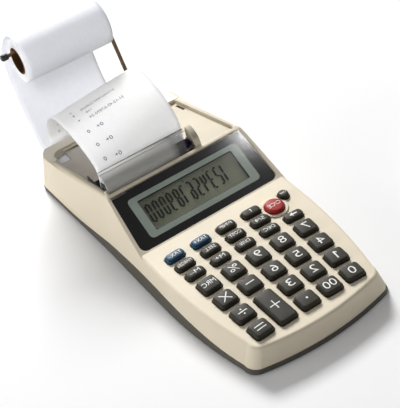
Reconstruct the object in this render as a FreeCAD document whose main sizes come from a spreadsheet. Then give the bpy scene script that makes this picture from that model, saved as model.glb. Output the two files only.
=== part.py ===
import FreeCAD, Part
import math
import os

import Sketcher
from FreeCAD import Placement, Rotation, Vector

doc = FreeCAD.newDocument("PrintingCalculator")
sheet = doc.addObject("Spreadsheet::Sheet", "Sizes")

# Driving dimensions, in millimetres and degrees. Distances "from_front" are measured
# along the base from the middle of the front edge.
DRIVING = [
    ("case_length", 230.5),
    ("origin_from_front", 111.25),
    ("case_half_width", 52.1),
    ("front_half_width", 46.0),
    ("rear_half_width", 50.7),
    ("wall", 1.8),
    ("front_height", 14.3),
    ("keypad_tilt", 4.0),
    ("display_low_from_front", 101.0),
    ("display_top_from_front", 134.5),
    ("display_top_height", 40.2),
    ("crest_depth", 2.6),
    ("crest_rise", 0.7),
    ("crest_round", 1.0),
    ("rim_rear_from_front", 205.5),
    ("rim_rear_height", 26.8),
    ("rear_top_height", 25.4),
    ("draft_height", 45.0),
    ("parting_front_height", 2.9),
    ("parting_middle_height", 9.6),
    ("parting_rear_height", 2.3),
    ("parting_swell", 92.0),
    ("floor_wall", 2.0),
    ("deck_drop", 2.4),
    ("bay_rim_width", 7.8),
    ("rim_skirt", 1.4),
    ("rim_round", 2.5),
    ("cover_opening", 9.6),
    ("cover_half_width", 46.6),
    ("deck_edge_gap", 3.4),
    ("deck_wall", 1.6),
    ("front_crease_inset", 3.2),
    ("home_row_from_front", 58.3),
    ("row_pitch", 13.87),
    ("column_pitch", 16.13),
    ("columns_middle", -0.7),
    ("column_fan", 1.73),
    ("key_width", 11.7),
    ("key_depth", 10.4),
    ("key_rise", 2.9),
    ("key_corner", 2.2),
    ("key_edge_round", 0.8),
    ("key_draft", 6.0),
    ("key_stem", 5.2),
    ("key_flange", 0.7),
    ("key_flange_height", 0.9),
    ("key_clearance", 0.3),
    ("key_travel", 1.2),
    ("small_key_width", 11.9),
    ("small_key_depth", 6.3),
    ("small_key_corner", 2.6),
    ("small_key_rise", 2.5),
    ("small_row_one", 11.9),
    ("small_row_pitch", 8.95),
    ("clear_key_diameter", 11.6),
    ("clear_key_x", 29.0),
    ("clear_key_row", 24.7),
    ("off_key_diameter", 6.9),
    ("off_key_x", 38.6),
    ("off_key_row", 29.3),
    ("collar_width", 1.7),
    ("collar_rise", 0.7),
    ("lens_half_width_low", 46.6),
    ("lens_half_width_top", 44.1),
    ("lens_thickness", 1.6),
    ("lens_corner", 4.0),
    ("lens_gap", 0.15),
    ("lcd_width", 70.0),
    ("lcd_depth", 24.0),
    ("lcd_thickness", 2.4),
    ("lcd_middle", 19.35),
    ("lcd_window_width", 66.5),
    ("lcd_window_depth", 21.6),
    ("board_width", 84.0),
    ("board_length", 91.0),
    ("board_thickness", 1.6),
    ("board_depth_below_keys", 6.2),
    ("mat_thickness", 1.0),
    ("mat_button_height", 0.7),
    ("mat_button_diameter", 4.4),
    ("paper_width", 57.0),
    ("paper_side_gap", 1.1),
    ("paper_thickness", 0.3),
    ("paper_gap", 0.35),
    ("tear_from_front", 147.3),
    ("tear_height", 49.1),
    ("window_radius", 9.6),
    ("window_thickness", 1.3),
    ("window_side_gap", 0.3),
    ("window_hinge_back", 1.15),
    ("window_hinge_up", 1.1),
    ("window_end_inset", 4.2),
    ("window_pin_diameter", 1.2),
    ("platen_from_front", 156.1),
    ("printer_axis_height", 31.0),
    ("platen_diameter", 11.0),
    ("drum_diameter", 12.0),
    ("ink_roller_diameter", 6.4),
    ("ink_roller_back", 0.2),
    ("ink_roller_up", 9.7),
    ("axle_diameter", 2.0),
    ("axle_clearance", 0.06),
    ("gear_module", 0.8),
    ("gear_teeth", 16.0),
    ("pinion_teeth", 10.0),
    ("gear_width", 1.9),
    ("side_plate", 0.6),
    ("motor_diameter", 10.0),
    ("motor_end_gap", 5.5),
    ("pinion_angle", -62.0),
    ("slot_height", 19.4),
    ("slot_opening", 3.0),
    ("arm_wire_diameter", 2.4),
    ("arm_pivot_from_front", 193.5),
    ("arm_pivot_above_deck", 1.7),
    ("arm_gap", 1.5),
    ("arm_reach_back", 32.0),
    ("arm_reach_up", 66.2),
    ("arm_bend", 3.0),
    ("arm_foot", 8.0),
    ("arm_overhang", 6.0),
    ("arm_cap_diameter", 4.2),
    ("arm_cap_length", 5.0),
    ("core_inner_diameter", 14.6),
    ("core_wall", 1.1),
    ("roll_diameter", 27.2),
    ("cell_diameter", 14.5),
    ("cell_length", 50.5),
    ("cell_pitch", 14.8),
    ("cell_rear_gap", 6.5),
    ("door_half_width", 31.0),
    ("door_front_gap", 1.5),
    ("door_thickness", 1.6),
    ("door_gap", 0.3),
    ("foot_diameter", 9.0),
    ("foot_rise", 1.2),
    ("foot_recess", 0.6),
    ("screw_head_diameter", 4.4),
    ("screw_diameter", 2.2),
    ("boss_diameter", 6.8),
    ("jack_diameter", 9.0),
    ("jack_bore", 5.6),
    ("jack_pin", 2.0),
    ("jack_length", 11.0),
    ("jack_from_front", 190.0),
    ("jack_height", 11.5),
    ("ledge_thickness", 1.6),
]
for row, (alias, value) in enumerate(DRIVING, start=1):
    sheet.set("A%d" % row, alias)
    sheet.set("B%d" % row, str(value))
    sheet.setAlias("B%d" % row, alias)
doc.recompute()


class Size:
    """Sizes read back from the sheet by their alias."""

    def __getattr__(self, alias):
        return float(sheet.get(alias))


size = Size()
parts = {}


def bind(thing, **sizes):
    """Tie properties of an object to formulas over the sheet."""
    for name, formula in sizes.items():
        thing.setExpression(name, formula)


def keep(node, thing):
    """Register an object as a sub-part under its node name."""
    thing.Label = node
    parts[node] = thing
    return thing


def feature(node, shape):
    """A sub-part whose shape is worked out from the sizes."""
    thing = doc.addObject("Part::Feature", node)
    thing.Shape = shape
    return keep(node, thing)


front = -size.origin_from_front
rear = size.case_length - size.origin_from_front
tilt = math.radians(size.keypad_tilt)
home_y = front + size.home_row_from_front
bay_w = size.rear_half_width - size.bay_rim_width
paper_left = -bay_w + size.paper_side_gap
paper_right = paper_left + size.paper_width
deck_left = paper_right + size.deck_edge_gap
window_left = -bay_w + size.window_side_gap
window_right = paper_right - size.window_end_inset
arm_x = paper_right + size.arm_gap
motor_length = bay_w - size.motor_end_gap - deck_left - 1.8
cell_front = rear - size.cell_rear_gap - size.cell_length
door_front = cell_front - size.door_front_gap


def from_front(distance):
    return front + distance


def keypad_height(y):
    """Height of the keypad's surface above the base at a place along the case."""
    foot = front + size.front_crease_inset
    return size.front_height + (y - foot) * math.tan(tilt)


display_low = Vector(0, from_front(size.display_low_from_front), 0)
display_low.z = keypad_height(display_low.y)
display_top = Vector(0, from_front(size.display_top_from_front), size.display_top_height)
crest = Vector(0, display_top.y + size.crest_depth, display_top.z + size.crest_rise)
rim_rear = Vector(0, from_front(size.rim_rear_from_front), size.rim_rear_height)


def rim_height(y):
    """Height of the printer bay's side rims, which fall towards the back."""
    share = (y - crest.y) / (rim_rear.y - crest.y)
    return crest.z + share * (rim_rear.z - crest.z)


def arc(first, middle, last):
    return Part.Arc(first, middle, last).toShape()


def line(first, last):
    return Part.makeLine(first, last)


def mirrored_outline(half, height):
    """Closed outline from points on the left half, as (x, y), arcs as triples.

    The half starts on the centre line at the front and ends at the rear edge.
    """
    def at(x, y):
        return Vector(x, y, height)

    (bow_x, bow_y), front_y = half["front_end"], half["front_middle"]
    left = []
    right = []
    for start, middle, end in half["arcs"]:
        left.append(arc(at(-start[0], start[1]), at(-middle[0], middle[1]), at(-end[0], end[1])))
        right.append(arc(at(end[0], end[1]), at(middle[0], middle[1]), at(start[0], start[1])))
    side = half["arcs"][-2][2]
    rear_side = half["arcs"][-1][0]
    left.insert(-1, line(at(-side[0], side[1]), at(-rear_side[0], rear_side[1])))
    right.insert(-1, line(at(rear_side[0], rear_side[1]), at(side[0], side[1])))
    rear_end = half["arcs"][-1][2]
    edges = [arc(at(bow_x, bow_y), at(0, front_y), at(-bow_x, bow_y))]
    edges += left
    edges.append(line(at(-rear_end[0], rear_end[1]), at(rear_end[0], rear_end[1])))
    edges += reversed(right)
    return Part.Wire(edges)


def base_outline(inset, height):
    """Outline of the case on the ground: bowed front, full sides, straight rear."""
    front_w = size.front_half_width - inset
    wide = size.case_half_width - inset
    rear_w = size.rear_half_width - inset
    half = {
        "front_middle": front + inset,
        "front_end": (front_w - 4.8, front + 5.2 + inset),
        "arcs": [
            ((front_w - 4.8, front + 5.2 + inset), (front_w - 1.3, front + 8.1 + 0.7 * inset), (front_w, front + 13.2)),
            ((front_w, front + 13.2), (wide - 0.9, front + 49.2), (wide, front + 80.0)),
            ((wide, front + 80.0), (0.5 * (wide + rear_w) + 0.1, front + 109.5), (rear_w, front + 139.5)),
            ((rear_w, rear - 13.0), (rear_w - 3.2, rear - 3.9 - 0.3 * inset), (rear_w - 10.5, rear - inset)),
        ],
    }
    return mirrored_outline(half, height)


def upper_outline(inset, height):
    """Outline that the drafted walls would reach at the draft height."""
    front_w = size.front_half_width - 15.4 - inset
    wide = size.case_half_width - 8.5 - inset
    rear_w = size.rear_half_width - 5.8 - inset
    half = {
        "front_middle": front + 10.1 + inset,
        "front_end": (front_w - 3.6, front + 12.6 + inset),
        "arcs": [
            ((front_w - 3.6, front + 12.6 + inset), (front_w - 1.1, front + 14.4 + 0.7 * inset), (front_w, front + 18.0)),
            ((front_w, front + 18.0), (wide - 3.0, front + 51.2), (wide + 1.6, front + 79.2)),
            ((wide + 1.6, front + 79.2), (wide + 2.5, front + 108.2), (rear_w, front + 139.5)),
            ((rear_w, rear - 21.0), (rear_w - 3.4, rear - 12.4 - 0.3 * inset), (rear_w - 11.5, rear - 8.5 - inset)),
        ],
    }
    return mirrored_outline(half, height)


def drafted_body(inset):
    """Solid between the base outline and the upper outline, walls leaning inwards."""
    low = base_outline(inset, 0)
    high = upper_outline(inset, size.draft_height)
    return Part.makeLoft([low, high], True, True)


def side_prism(points, half_width=80.0, arcs=()):
    """Prism across the whole case from a side profile of (y, z) points."""
    corners = [Vector(-half_width, y, z) for y, z in points]
    edges = []
    for i, first in enumerate(corners):
        last = corners[(i + 1) % len(corners)]
        if i in arcs:
            mid_y, mid_z = arcs[i]
            edges.append(arc(first, Vector(-half_width, mid_y, mid_z), last))
        else:
            edges.append(line(first, last))
    return Part.Face(Part.Wire(edges)).extrude(Vector(2 * half_width, 0, 0))


def top_profile(drop):
    """Side profile of the case's top, lowered square to each surface by a wall."""
    lean = math.atan2(display_top.z - display_low.z, display_top.y - display_low.y)
    fall = math.atan2(crest.z - rim_rear.z, rim_rear.y - crest.y)
    key_z = keypad_height(display_low.y) - drop / math.cos(tilt)
    slope_shift = drop * math.tan((lean - tilt) / 2)
    return [
        (front - 20, -10),
        (front - 20, keypad_height(front - 20) - drop / math.cos(tilt)),
        (display_low.y + slope_shift, key_z + slope_shift * math.tan(tilt)),
        (display_top.y + drop * math.sin(lean), display_top.z - drop * math.cos(lean)),
        (crest.y - drop * 0.5, crest.z - drop),
        (rim_rear.y - drop * 0.2, rim_rear.z - drop / math.cos(fall)),
        (rear - 8.6 - drop * 0.6, size.rear_top_height - drop),
        (rear - 4.1 - drop, size.rear_top_height - 4.2 - drop * 0.3),
        (rear + (0.4 - drop), 12.0),
        (rear + (0.4 - drop), -10),
    ]


def top_prism(drop):
    """Space under the case's top, with the rear edge rounded."""
    turn = (rear - 5.3 - drop * 0.8, size.rear_top_height - 1.35 - drop * 0.8)
    return side_prism(top_profile(drop), arcs={6: turn})


def parting_region(above, shift):
    """Prism above or below the arched joint line of the two half shells."""
    places = [front - 20, front] + [from_front(14.0 * i) for i in range(1, 16)] + [rear, rear + 20]
    path = []
    for y in places:
        share = min(max((y - front) / (rear - front), 0.0), 1.0)
        low = size.parting_front_height + (size.parting_rear_height - size.parting_front_height) * share
        away = min(abs(y - from_front(102.0)) / size.parting_swell, 1.0)
        swell = (size.parting_middle_height - low) * math.cos(math.pi / 2 * away) ** 2
        path.append(Vector(-80, y, low + swell + shift))
    curve = Part.BSplineCurve()
    curve.interpolate(path)
    far = 90.0 if above else -20.0
    corners = [path[-1], Vector(-80, rear + 20, far), Vector(-80, front - 20, far), path[0]]
    edges = [curve.toShape()] + [line(a, b) for a, b in zip(corners, corners[1:])]
    return Part.Face(Part.Wire(edges)).extrude(Vector(160, 0, 0))


def box(x0, x1, y0, y1, z0, z1):
    return Part.makeBox(x1 - x0, y1 - y0, z1 - z0, Vector(x0, y0, z0))


def rod_x(x0, x1, y, z, radius):
    return Part.makeCylinder(radius, x1 - x0, Vector(x0, y, z), Vector(1, 0, 0))


def keypad_placement(x, along, turn=0.0):
    """Place on the keypad's surface: along is measured up the slope from the home row."""
    base = Vector(x, home_y + along * math.cos(tilt), keypad_height(home_y) + along * math.sin(tilt))
    lean = Rotation(Vector(1, 0, 0), size.keypad_tilt)
    return Placement(base, lean.multiply(Rotation(Vector(0, 0, 1), turn)))


lens_lean = math.atan2(display_top.z - display_low.z, display_top.y - display_low.y)
lens_place = Placement(display_low, Rotation(Vector(1, 0, 0), math.degrees(lens_lean)))
slope_length = (display_top - display_low).Length


# Every key's place: node, column, row position up the slope, and its kind.
ROWS = [
    ("small", size.small_row_one + 2 * size.small_row_pitch),
    ("small", size.small_row_one + size.small_row_pitch),
    ("small", size.small_row_one),
    ("square", 0.0),
    ("square", -size.row_pitch),
    ("square", -2 * size.row_pitch),
    ("square", -3 * size.row_pitch),
]
LAYOUT = [
    ["key_tax_minus", "key_tax_plus", "key_print", "key_paper_feed", None],
    ["key_margin", "key_sell", "key_cost", "key_round", None],
    ["key_memory_minus", "key_memory_plus", "key_date_number", "key_decimals", "key_shift"],
    ["key_memory_recall", "key_percent", "key_9", "key_8", "key_7"],
    ["key_multiply", "key_minus", "key_6", "key_5", "key_4"],
    ["key_divide", None, "key_3", "key_2", "key_1"],
    ["key_equals", "key_plus", "key_point", "key_double_zero", "key_0"],
]
PLUS_ROW = 6


def column_x(column, along):
    """Columns spread towards the back, like a fan."""
    spread = math.tan(math.radians(size.column_fan)) * along
    return size.columns_middle + (column - 2) * (size.column_pitch + spread)


def key_places():
    places = []
    for row, (kind, along) in enumerate(ROWS):
        for column, node in enumerate(LAYOUT[row]):
            if node is None:
                continue
            spot = along
            shape = kind
            if node == "key_plus":
                spot = along + size.row_pitch / 2
                shape = "double"
            turn = -(column - 2) * size.column_fan
            places.append((node, shape, column_x(column, spot), spot, turn))
    places.append(("key_clear", "clear", size.clear_key_x, size.clear_key_row, 0.0))
    places.append(("key_off", "off", size.off_key_x, size.off_key_row, 0.0))
    return places


KEY_PLAN = {
    "square": ("Sizes.key_width", "Sizes.key_depth", "Sizes.key_corner", "Sizes.key_rise"),
    "double": ("Sizes.key_width", "Sizes.key_depth + Sizes.row_pitch", "Sizes.key_corner", "Sizes.key_rise"),
    "small": ("Sizes.small_key_width", "Sizes.small_key_depth", "Sizes.small_key_corner", "Sizes.small_key_rise"),
}
ROUND_PLAN = {
    "clear": ("Sizes.clear_key_diameter / 2", "Sizes.key_rise"),
    "off": ("Sizes.off_key_diameter / 2", "Sizes.small_key_rise"),
}


def key_extent(shape):
    """Plan size of a rectangular key kind, in millimetres."""
    if shape == "small":
        return size.small_key_width, size.small_key_depth, size.small_key_corner
    depth = size.key_depth + (size.row_pitch if shape == "double" else 0.0)
    return size.key_width, depth, size.key_corner


def plane(body, role):
    """One of a body's own origin planes."""
    for item in body.Origin.OriginFeatures:
        if item.Role == role:
            return item
    raise ValueError(role)


def rectangle_sketch(body, name, width, depth, corner, growth, offset):
    """Centred rectangle with round corners on the body's base plane, sized by formulas."""
    sketch = body.newObject("Sketcher::SketchObject", name)
    sketch.AttachmentSupport = [(plane(body, "XY_Plane"), "")]
    sketch.MapMode = "FlatFace"
    bind(sketch, **{"AttachmentOffset.Base.z": offset})
    w, d, r = 6.0, 5.0, 2.0
    quarter = math.pi / 2
    runs = [
        (Vector(-w + r, -d, 0), Vector(w - r, -d, 0)),
        (Vector(w, -d + r, 0), Vector(w, d - r, 0)),
        (Vector(w - r, d, 0), Vector(-w + r, d, 0)),
        (Vector(-w, d - r, 0), Vector(-w, -d + r, 0)),
    ]
    centres = [Vector(w - r, -d + r, 0), Vector(w - r, d - r, 0), Vector(-w + r, d - r, 0), Vector(-w + r, -d + r, 0)]
    for i in range(4):
        sketch.addGeometry(Part.LineSegment(*runs[i]), False)
        bend = Part.Circle(centres[i], Vector(0, 0, 1), r)
        sketch.addGeometry(Part.ArcOfCircle(bend, (i - 1) * quarter, i * quarter), False)
    for i in range(8):
        sketch.addConstraint(Sketcher.Constraint("Tangent", i, 2, (i + 1) % 8, 1))
    for i in (3, 5, 7):
        sketch.addConstraint(Sketcher.Constraint("Equal", 1, i))
    sketch.addConstraint(Sketcher.Constraint("Horizontal", 4))
    sketch.addConstraint(Sketcher.Constraint("Vertical", 6))
    sketch.addConstraint(Sketcher.Constraint("Symmetric", 0, 1, 0, 2, -2))
    sketch.addConstraint(Sketcher.Constraint("Symmetric", 2, 1, 2, 2, -1))
    wide = sketch.addConstraint(Sketcher.Constraint("DistanceX", 6, 2, 2, 1, 2 * w))
    deep = sketch.addConstraint(Sketcher.Constraint("DistanceY", 0, 2, 4, 1, 2 * d))
    turn = sketch.addConstraint(Sketcher.Constraint("Radius", 1, r))
    sketch.setExpression("Constraints[%d]" % wide, "(%s) + 2 * (%s)" % (width, growth))
    sketch.setExpression("Constraints[%d]" % deep, "(%s) + 2 * (%s)" % (depth, growth))
    sketch.setExpression("Constraints[%d]" % turn, "(%s) + (%s)" % (corner, growth))
    return sketch


def circle_sketch(body, name, radius, growth, offset):
    """Centred circle on the body's base plane, sized by formulas."""
    sketch = body.newObject("Sketcher::SketchObject", name)
    sketch.AttachmentSupport = [(plane(body, "XY_Plane"), "")]
    sketch.MapMode = "FlatFace"
    bind(sketch, **{"AttachmentOffset.Base.z": offset})
    sketch.addGeometry(Part.Circle(Vector(0, 0, 0), Vector(0, 0, 1), 4.0), False)
    sketch.addConstraint(Sketcher.Constraint("Coincident", 0, 3, -1, 1))
    round_one = sketch.addConstraint(Sketcher.Constraint("Radius", 0, 4.0))
    sketch.setExpression("Constraints[%d]" % round_one, "(%s) + (%s)" % (radius, growth))
    return sketch


def pad(body, name, sketch, length, taper=None):
    thing = body.newObject("PartDesign::Pad", name)
    thing.Profile = sketch
    bind(thing, Length=length)
    if taper is not None:
        bind(thing, TaperAngle=taper)
    sketch.Visibility = False
    return thing


def make_key(node, shape):
    """A key: a drafted cap with rounded edges over a stem and a retaining flange."""
    body = doc.addObject("PartDesign::Body", node)
    keep(node, body)
    under = "-Sizes.wall - Sizes.paper_gap - Sizes.key_flange_height"
    if shape in ROUND_PLAN:
        radius, rise = ROUND_PLAN[shape]
        flange = circle_sketch(body, node + "_flange_plan", radius, "Sizes.key_flange - 0.2", under)
        cap = circle_sketch(body, node + "_cap_plan", radius, "0", "0")
        stem = circle_sketch(body, node + "_stem_plan", radius, "0", under)
    else:
        width, depth, corner, rise = KEY_PLAN[shape]
        flange = rectangle_sketch(body, node + "_flange_plan", width, depth, corner, "Sizes.key_flange", under)
        cap = rectangle_sketch(body, node + "_cap_plan", width, depth, corner, "0", "0")
        stem = rectangle_sketch(body, node + "_stem_plan", width, depth, corner, "0", under)
    doc.recompute()
    pad(body, node + "_cap", cap, rise, "-Sizes.key_draft")
    pad(body, node + "_stem", stem, "Sizes.wall + Sizes.paper_gap + Sizes.key_flange_height")
    doc.recompute()
    tip = body.Tip
    top_z = tip.Shape.BoundBox.ZMax
    rim = [
        "Edge%d" % (i + 1)
        for i, edge in enumerate(tip.Shape.Edges)
        if edge.BoundBox.ZMin > top_z - 0.01
    ]
    rounded = body.newObject("PartDesign::Fillet", node + "_edge")
    rounded.Base = (tip, rim)
    bind(rounded, Radius="Sizes.key_edge_round")
    doc.recompute()
    pad(body, node + "_flange", flange, "Sizes.key_flange_height")
    return body


PLACES = key_places()
for node, shape, x, along, turn in PLACES:
    key = make_key(node, shape)
    key.Placement = keypad_placement(x, along, turn)
doc.recompute()


def rounded_plate(width, depth, radius, low, high):
    """Upright block with rounded corners, centred on the origin."""
    w = width / 2
    d = depth / 2
    block = box(-w, w, -d, d, low, high)
    edges = [edge for edge in block.Edges if abs(edge.tangentAt(0).z) > 0.9]
    return block.makeFillet(radius, edges)


def key_hole(shape):
    """The hole that a key runs in, in the key's own frame."""
    low = -size.wall - 1.0
    high = 1.0
    if shape == "clear":
        return Part.makeCylinder(size.clear_key_diameter / 2 + size.key_clearance, high - low, Vector(0, 0, low))
    if shape == "off":
        return Part.makeCylinder(size.off_key_diameter / 2 + size.key_clearance, high - low, Vector(0, 0, low))
    width, depth, corner = key_extent(shape)
    gap = size.key_clearance
    return rounded_plate(width + 2 * gap, depth + 2 * gap, corner, low, high)


def lens_plan(grow, low, high):
    """The display lens's trapezoid with rounded lower corners, in the lens's frame."""
    bottom = 0.9 - grow
    top = slope_length - 0.5 + grow
    low_w = size.lens_half_width_low + grow
    top_w = size.lens_half_width_top + grow
    corners = [(-low_w, bottom), (low_w, bottom), (top_w, top), (-top_w, top)]
    wire = Part.makePolygon([Vector(x, y, low) for x, y in corners + corners[:1]])
    block = Part.Face(wire).extrude(Vector(0, 0, high - low))
    lower = [
        edge
        for edge in block.Edges
        if edge.BoundBox.ZLength > (high - low) * 0.9 and edge.BoundBox.YMax < bottom + 1
    ]
    return block.makeFillet(size.lens_corner, lower)


def placed(shape, place):
    copy = shape.copy()
    copy.Placement = place
    return copy


# Axes of the printing mechanism.
axle_r = size.axle_diameter / 2
gear_r = size.gear_module * size.gear_teeth / 2
pinion_r = size.gear_module * size.pinion_teeth / 2
platen_y = from_front(size.platen_from_front)
axis_z = size.printer_axis_height
drum_y = platen_y - 2 * gear_r
ink_y = drum_y + size.ink_roller_back
ink_z = axis_z + size.ink_roller_up
plate_left = paper_left - 0.8
plate_right = paper_right + 0.25
gear_x = plate_right + size.side_plate + 0.3
pinion_angle = math.radians(size.pinion_angle)
motor_y = platen_y + (gear_r + pinion_r) * math.cos(pinion_angle)
motor_z = axis_z + (gear_r + pinion_r) * math.sin(pinion_angle)
motor_x = deck_left + 1.8
stand_low = size.floor_wall + 0.1
frame_low = axis_z - 10.4
frame_high = axis_z + 6.6
frame_back = platen_y + 9.0
frame_front = drum_y - 7.8
run = size.axle_clearance

# Upper shell: the drafted body under the top profile, hollowed, with the printer bay,
# the recess for the display lens, the key holes and the raised collar of the clear key.
outer = drafted_body(0.0)
inner = drafted_body(size.wall)
top_outer = outer.common(top_prism(0.0)).common(parting_region(True, 0.0))


def on_keypad_crease(edge):
    box_of = edge.BoundBox
    middle = edge.valueAt((edge.FirstParameter + edge.LastParameter) / 2)
    ends = [edge.valueAt(edge.FirstParameter), edge.valueAt(edge.LastParameter), middle]
    on_top = all(abs(p.z - keypad_height(p.y)) < 0.02 for p in ends)
    return on_top and box_of.YMax < display_low.y + 0.5 and abs(middle.x) < 60 and box_of.YMin < display_low.y - 1


crease = [edge for edge in top_outer.Edges if on_keypad_crease(edge)]
top_outer = top_outer.makeFillet(1.8, crease)
shoulder = [
    edge
    for edge in top_outer.Edges
    if edge.BoundBox.YMin > crest.y - 0.05
    and edge.BoundBox.YMax < rim_rear.y + 0.05
    and edge.BoundBox.ZMin > size.rim_rear_height - 0.1
    and edge.BoundBox.XLength < 5
]
top_outer = top_outer.makeFillet(size.rim_round, shoulder)
hollow = inner.common(top_prism(size.wall))
shell = top_outer.cut(hollow)

bay_front = crest.y
bay_back = rim_rear.y


def bay_block(x0, x1, y0, y1, drop):
    """Space over the bay's floor, which follows the falling rims at a given depth."""
    points = [
        (y0, rim_height(y0) - drop),
        (y1, rim_height(y1) - drop),
        (y1, 80.0),
        (y0, 80.0),
    ]
    prism = side_prism(points)
    return prism.common(box(x0, x1, y0 - 1, y1 + 1, 0, 90))


deck = bay_block(-bay_w - 0.6, bay_w + 0.6, bay_front, bay_back, size.deck_drop + size.deck_wall)
deck = deck.cut(bay_block(-99, 99, bay_front - 5, bay_back + 5, size.deck_drop))
deck = deck.cut(box(-99, deck_left, bay_front - 5, bay_back + 5, 0, 90))
shell = shell.cut(bay_block(-bay_w, bay_w, bay_front, bay_back, 12.0))
crest_lean = math.atan2(size.crest_rise, size.crest_depth)
turn_y = crest.y - size.crest_round
turn_z = crest.z - size.crest_round * (math.tan(crest_lean) + 1 / math.cos(crest_lean))
rim_corner = side_prism([
    (turn_y, turn_z),
    (crest.y + 0.2, turn_z),
    (crest.y + 0.2, crest.z + 0.4),
    (turn_y - size.crest_round * math.sin(crest_lean), turn_z + size.crest_round * math.cos(crest_lean)),
], half_width=bay_w)
shell = shell.cut(rim_corner.cut(rod_x(-90, 90, turn_y, turn_z, size.crest_round)))
well_side = bay_block(deck_left, deck_left + 1.4, bay_front, bay_back, 9.0)
well_side = well_side.cut(bay_block(-99, 99, bay_front - 5, bay_back + 5, size.deck_drop))
shell = shell.fuse([deck, well_side])
for x0, x1 in ((-bay_w - size.rim_skirt, -bay_w), (bay_w, bay_w + size.rim_skirt)):
    skirt = bay_block(x0, x1, bay_front, bay_back, 9.0)
    shell = shell.fuse(skirt.common(top_outer))

# Bracket at the end of the tear window, with the window's own curve.
window_y = from_front(size.tear_from_front)
window_z = size.tear_height - size.window_radius
bracket = rod_x(deck_left - 2.2, deck_left + 1.4, window_y, window_z, size.window_radius + 0.5)
bracket = bracket.common(box(0, 40, crest.y - 0.5, window_y, window_z - 6.0, 80))
hinge_y = window_y - size.window_radius + size.window_hinge_back
hinge_z = window_z + size.window_hinge_up
pin_r = size.window_pin_diameter / 2
lug = rod_x(-bay_w - 1.5, -bay_w, hinge_y, hinge_z, pin_r + 0.9)
lug = lug.fuse(box(-bay_w - 1.5, -bay_w, hinge_y - pin_r - 0.9, hinge_y + pin_r + 0.9, hinge_z - 4.0, hinge_z))
for gear_y in (drum_y, platen_y):
    bracket = bracket.cut(rod_x(gear_x - 0.3, gear_x + size.gear_width + 0.25, gear_y, axis_z, gear_r + 1.2))
shell = shell.fuse([bracket, lug])
shell = shell.cut(rod_x(-bay_w - 1.1, 18.4, hinge_y, hinge_z, pin_r + size.axle_clearance))

# Two ears on the deck carry the paper arm's foot.
pivot_y = from_front(size.arm_pivot_from_front)
pivot_z = rim_height(pivot_y) - size.deck_drop + size.arm_pivot_above_deck
wire_r = size.arm_wire_diameter / 2
ear_x = arm_x + size.arm_bend + 0.3
ear = rod_x(ear_x, ear_x + size.arm_foot - 1.5, pivot_y, pivot_z, wire_r + 1.5)
ear = ear.fuse(box(ear_x, ear_x + size.arm_foot - 1.5, pivot_y - wire_r - 1.5, pivot_y + wire_r + 1.5, pivot_z - 3.6, pivot_z))
shell = shell.fuse(ear)
shell = shell.cut(rod_x(arm_x, ear_x + size.arm_foot, pivot_y, pivot_z, wire_r + size.axle_clearance))

# Small slot in the deck near the right rim, and the gap that the paper enters by.
slot_y = from_front(191.0)
shell = shell.cut(box(bay_w - 2.5, bay_w - 0.7, slot_y, slot_y + 10.0, 10.0, 60.0))
cover_front = bay_back + 0.3
cover_low = size.slot_height + size.slot_opening / 2
shell = shell.cut(box(-size.cover_half_width - 0.2, size.cover_half_width + 0.2, bay_back, rear + 5.0,
                      cover_low - 0.2, 60.0))
shell = shell.cut(box(paper_left - 1.2, paper_right + 1.2, bay_back - 4, rear + 5.0, size.slot_height - size.slot_opening / 2, 60.0))

# Screw bosses hang from the top, over the lower shell's posts.
front_boss = size.front_half_width - 5.4
BOSSES = [(-front_boss, 20.0), (front_boss, 20.0), (-41.0, 114.0), (41.0, 114.0)]
boss_split = 9.0


def boss_at(x, distance):
    return Vector(x, from_front(distance), 0)


top_space = inner.common(top_prism(size.wall * 0.5))
for x, distance in BOSSES:
    spot = boss_at(x, distance)
    post = Part.makeCylinder(size.boss_diameter / 2, 60, Vector(spot.x, spot.y, boss_split))
    hole = Part.makeCylinder(size.screw_diameter / 2, 4.0, Vector(spot.x, spot.y, boss_split - 1))
    shell = shell.fuse(post.common(top_space))
    shell = shell.cut(hole)

# Ledge that backs the display lens.
ledge_low = -size.lens_thickness - size.lens_gap - size.ledge_thickness
ledge = placed(lens_plan(1.6, ledge_low, -0.4), lens_place)
shell = shell.fuse(ledge.common(outer).common(top_prism(0.3)))

# Collar round the clear key, then the lens recess, the display opening and the key holes.
clear_place = keypad_placement(size.clear_key_x, size.clear_key_row)
collar_r = size.clear_key_diameter / 2 + size.key_clearance
collar = Part.makeCylinder(collar_r + size.collar_width, size.collar_rise + 0.5, Vector(0, 0, -0.5))
shell = shell.fuse(placed(collar, clear_place))
for node, shape, x, along, turn in PLACES:
    shell = shell.cut(placed(key_hole(shape), keypad_placement(x, along, turn)))
shell = shell.cut(placed(lens_plan(size.lens_gap, -size.lens_thickness - size.lens_gap, 5.0), lens_place))
lcd_hole = rounded_plate(size.lcd_window_width, size.lcd_window_depth, 1.0, -20.0, 1.0)
shell = shell.cut(placed(lcd_hole, lens_place.multiply(Placement(Vector(0, size.lcd_middle, 0), Rotation()))))
jack_y = from_front(size.jack_from_front)
jack_face = size.rear_half_width - 1.7
shell = shell.cut(rod_x(jack_face - size.jack_length, 60.0, jack_y, size.jack_height, size.jack_diameter / 2 + 0.1))

feature("top_case", shell)


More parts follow.
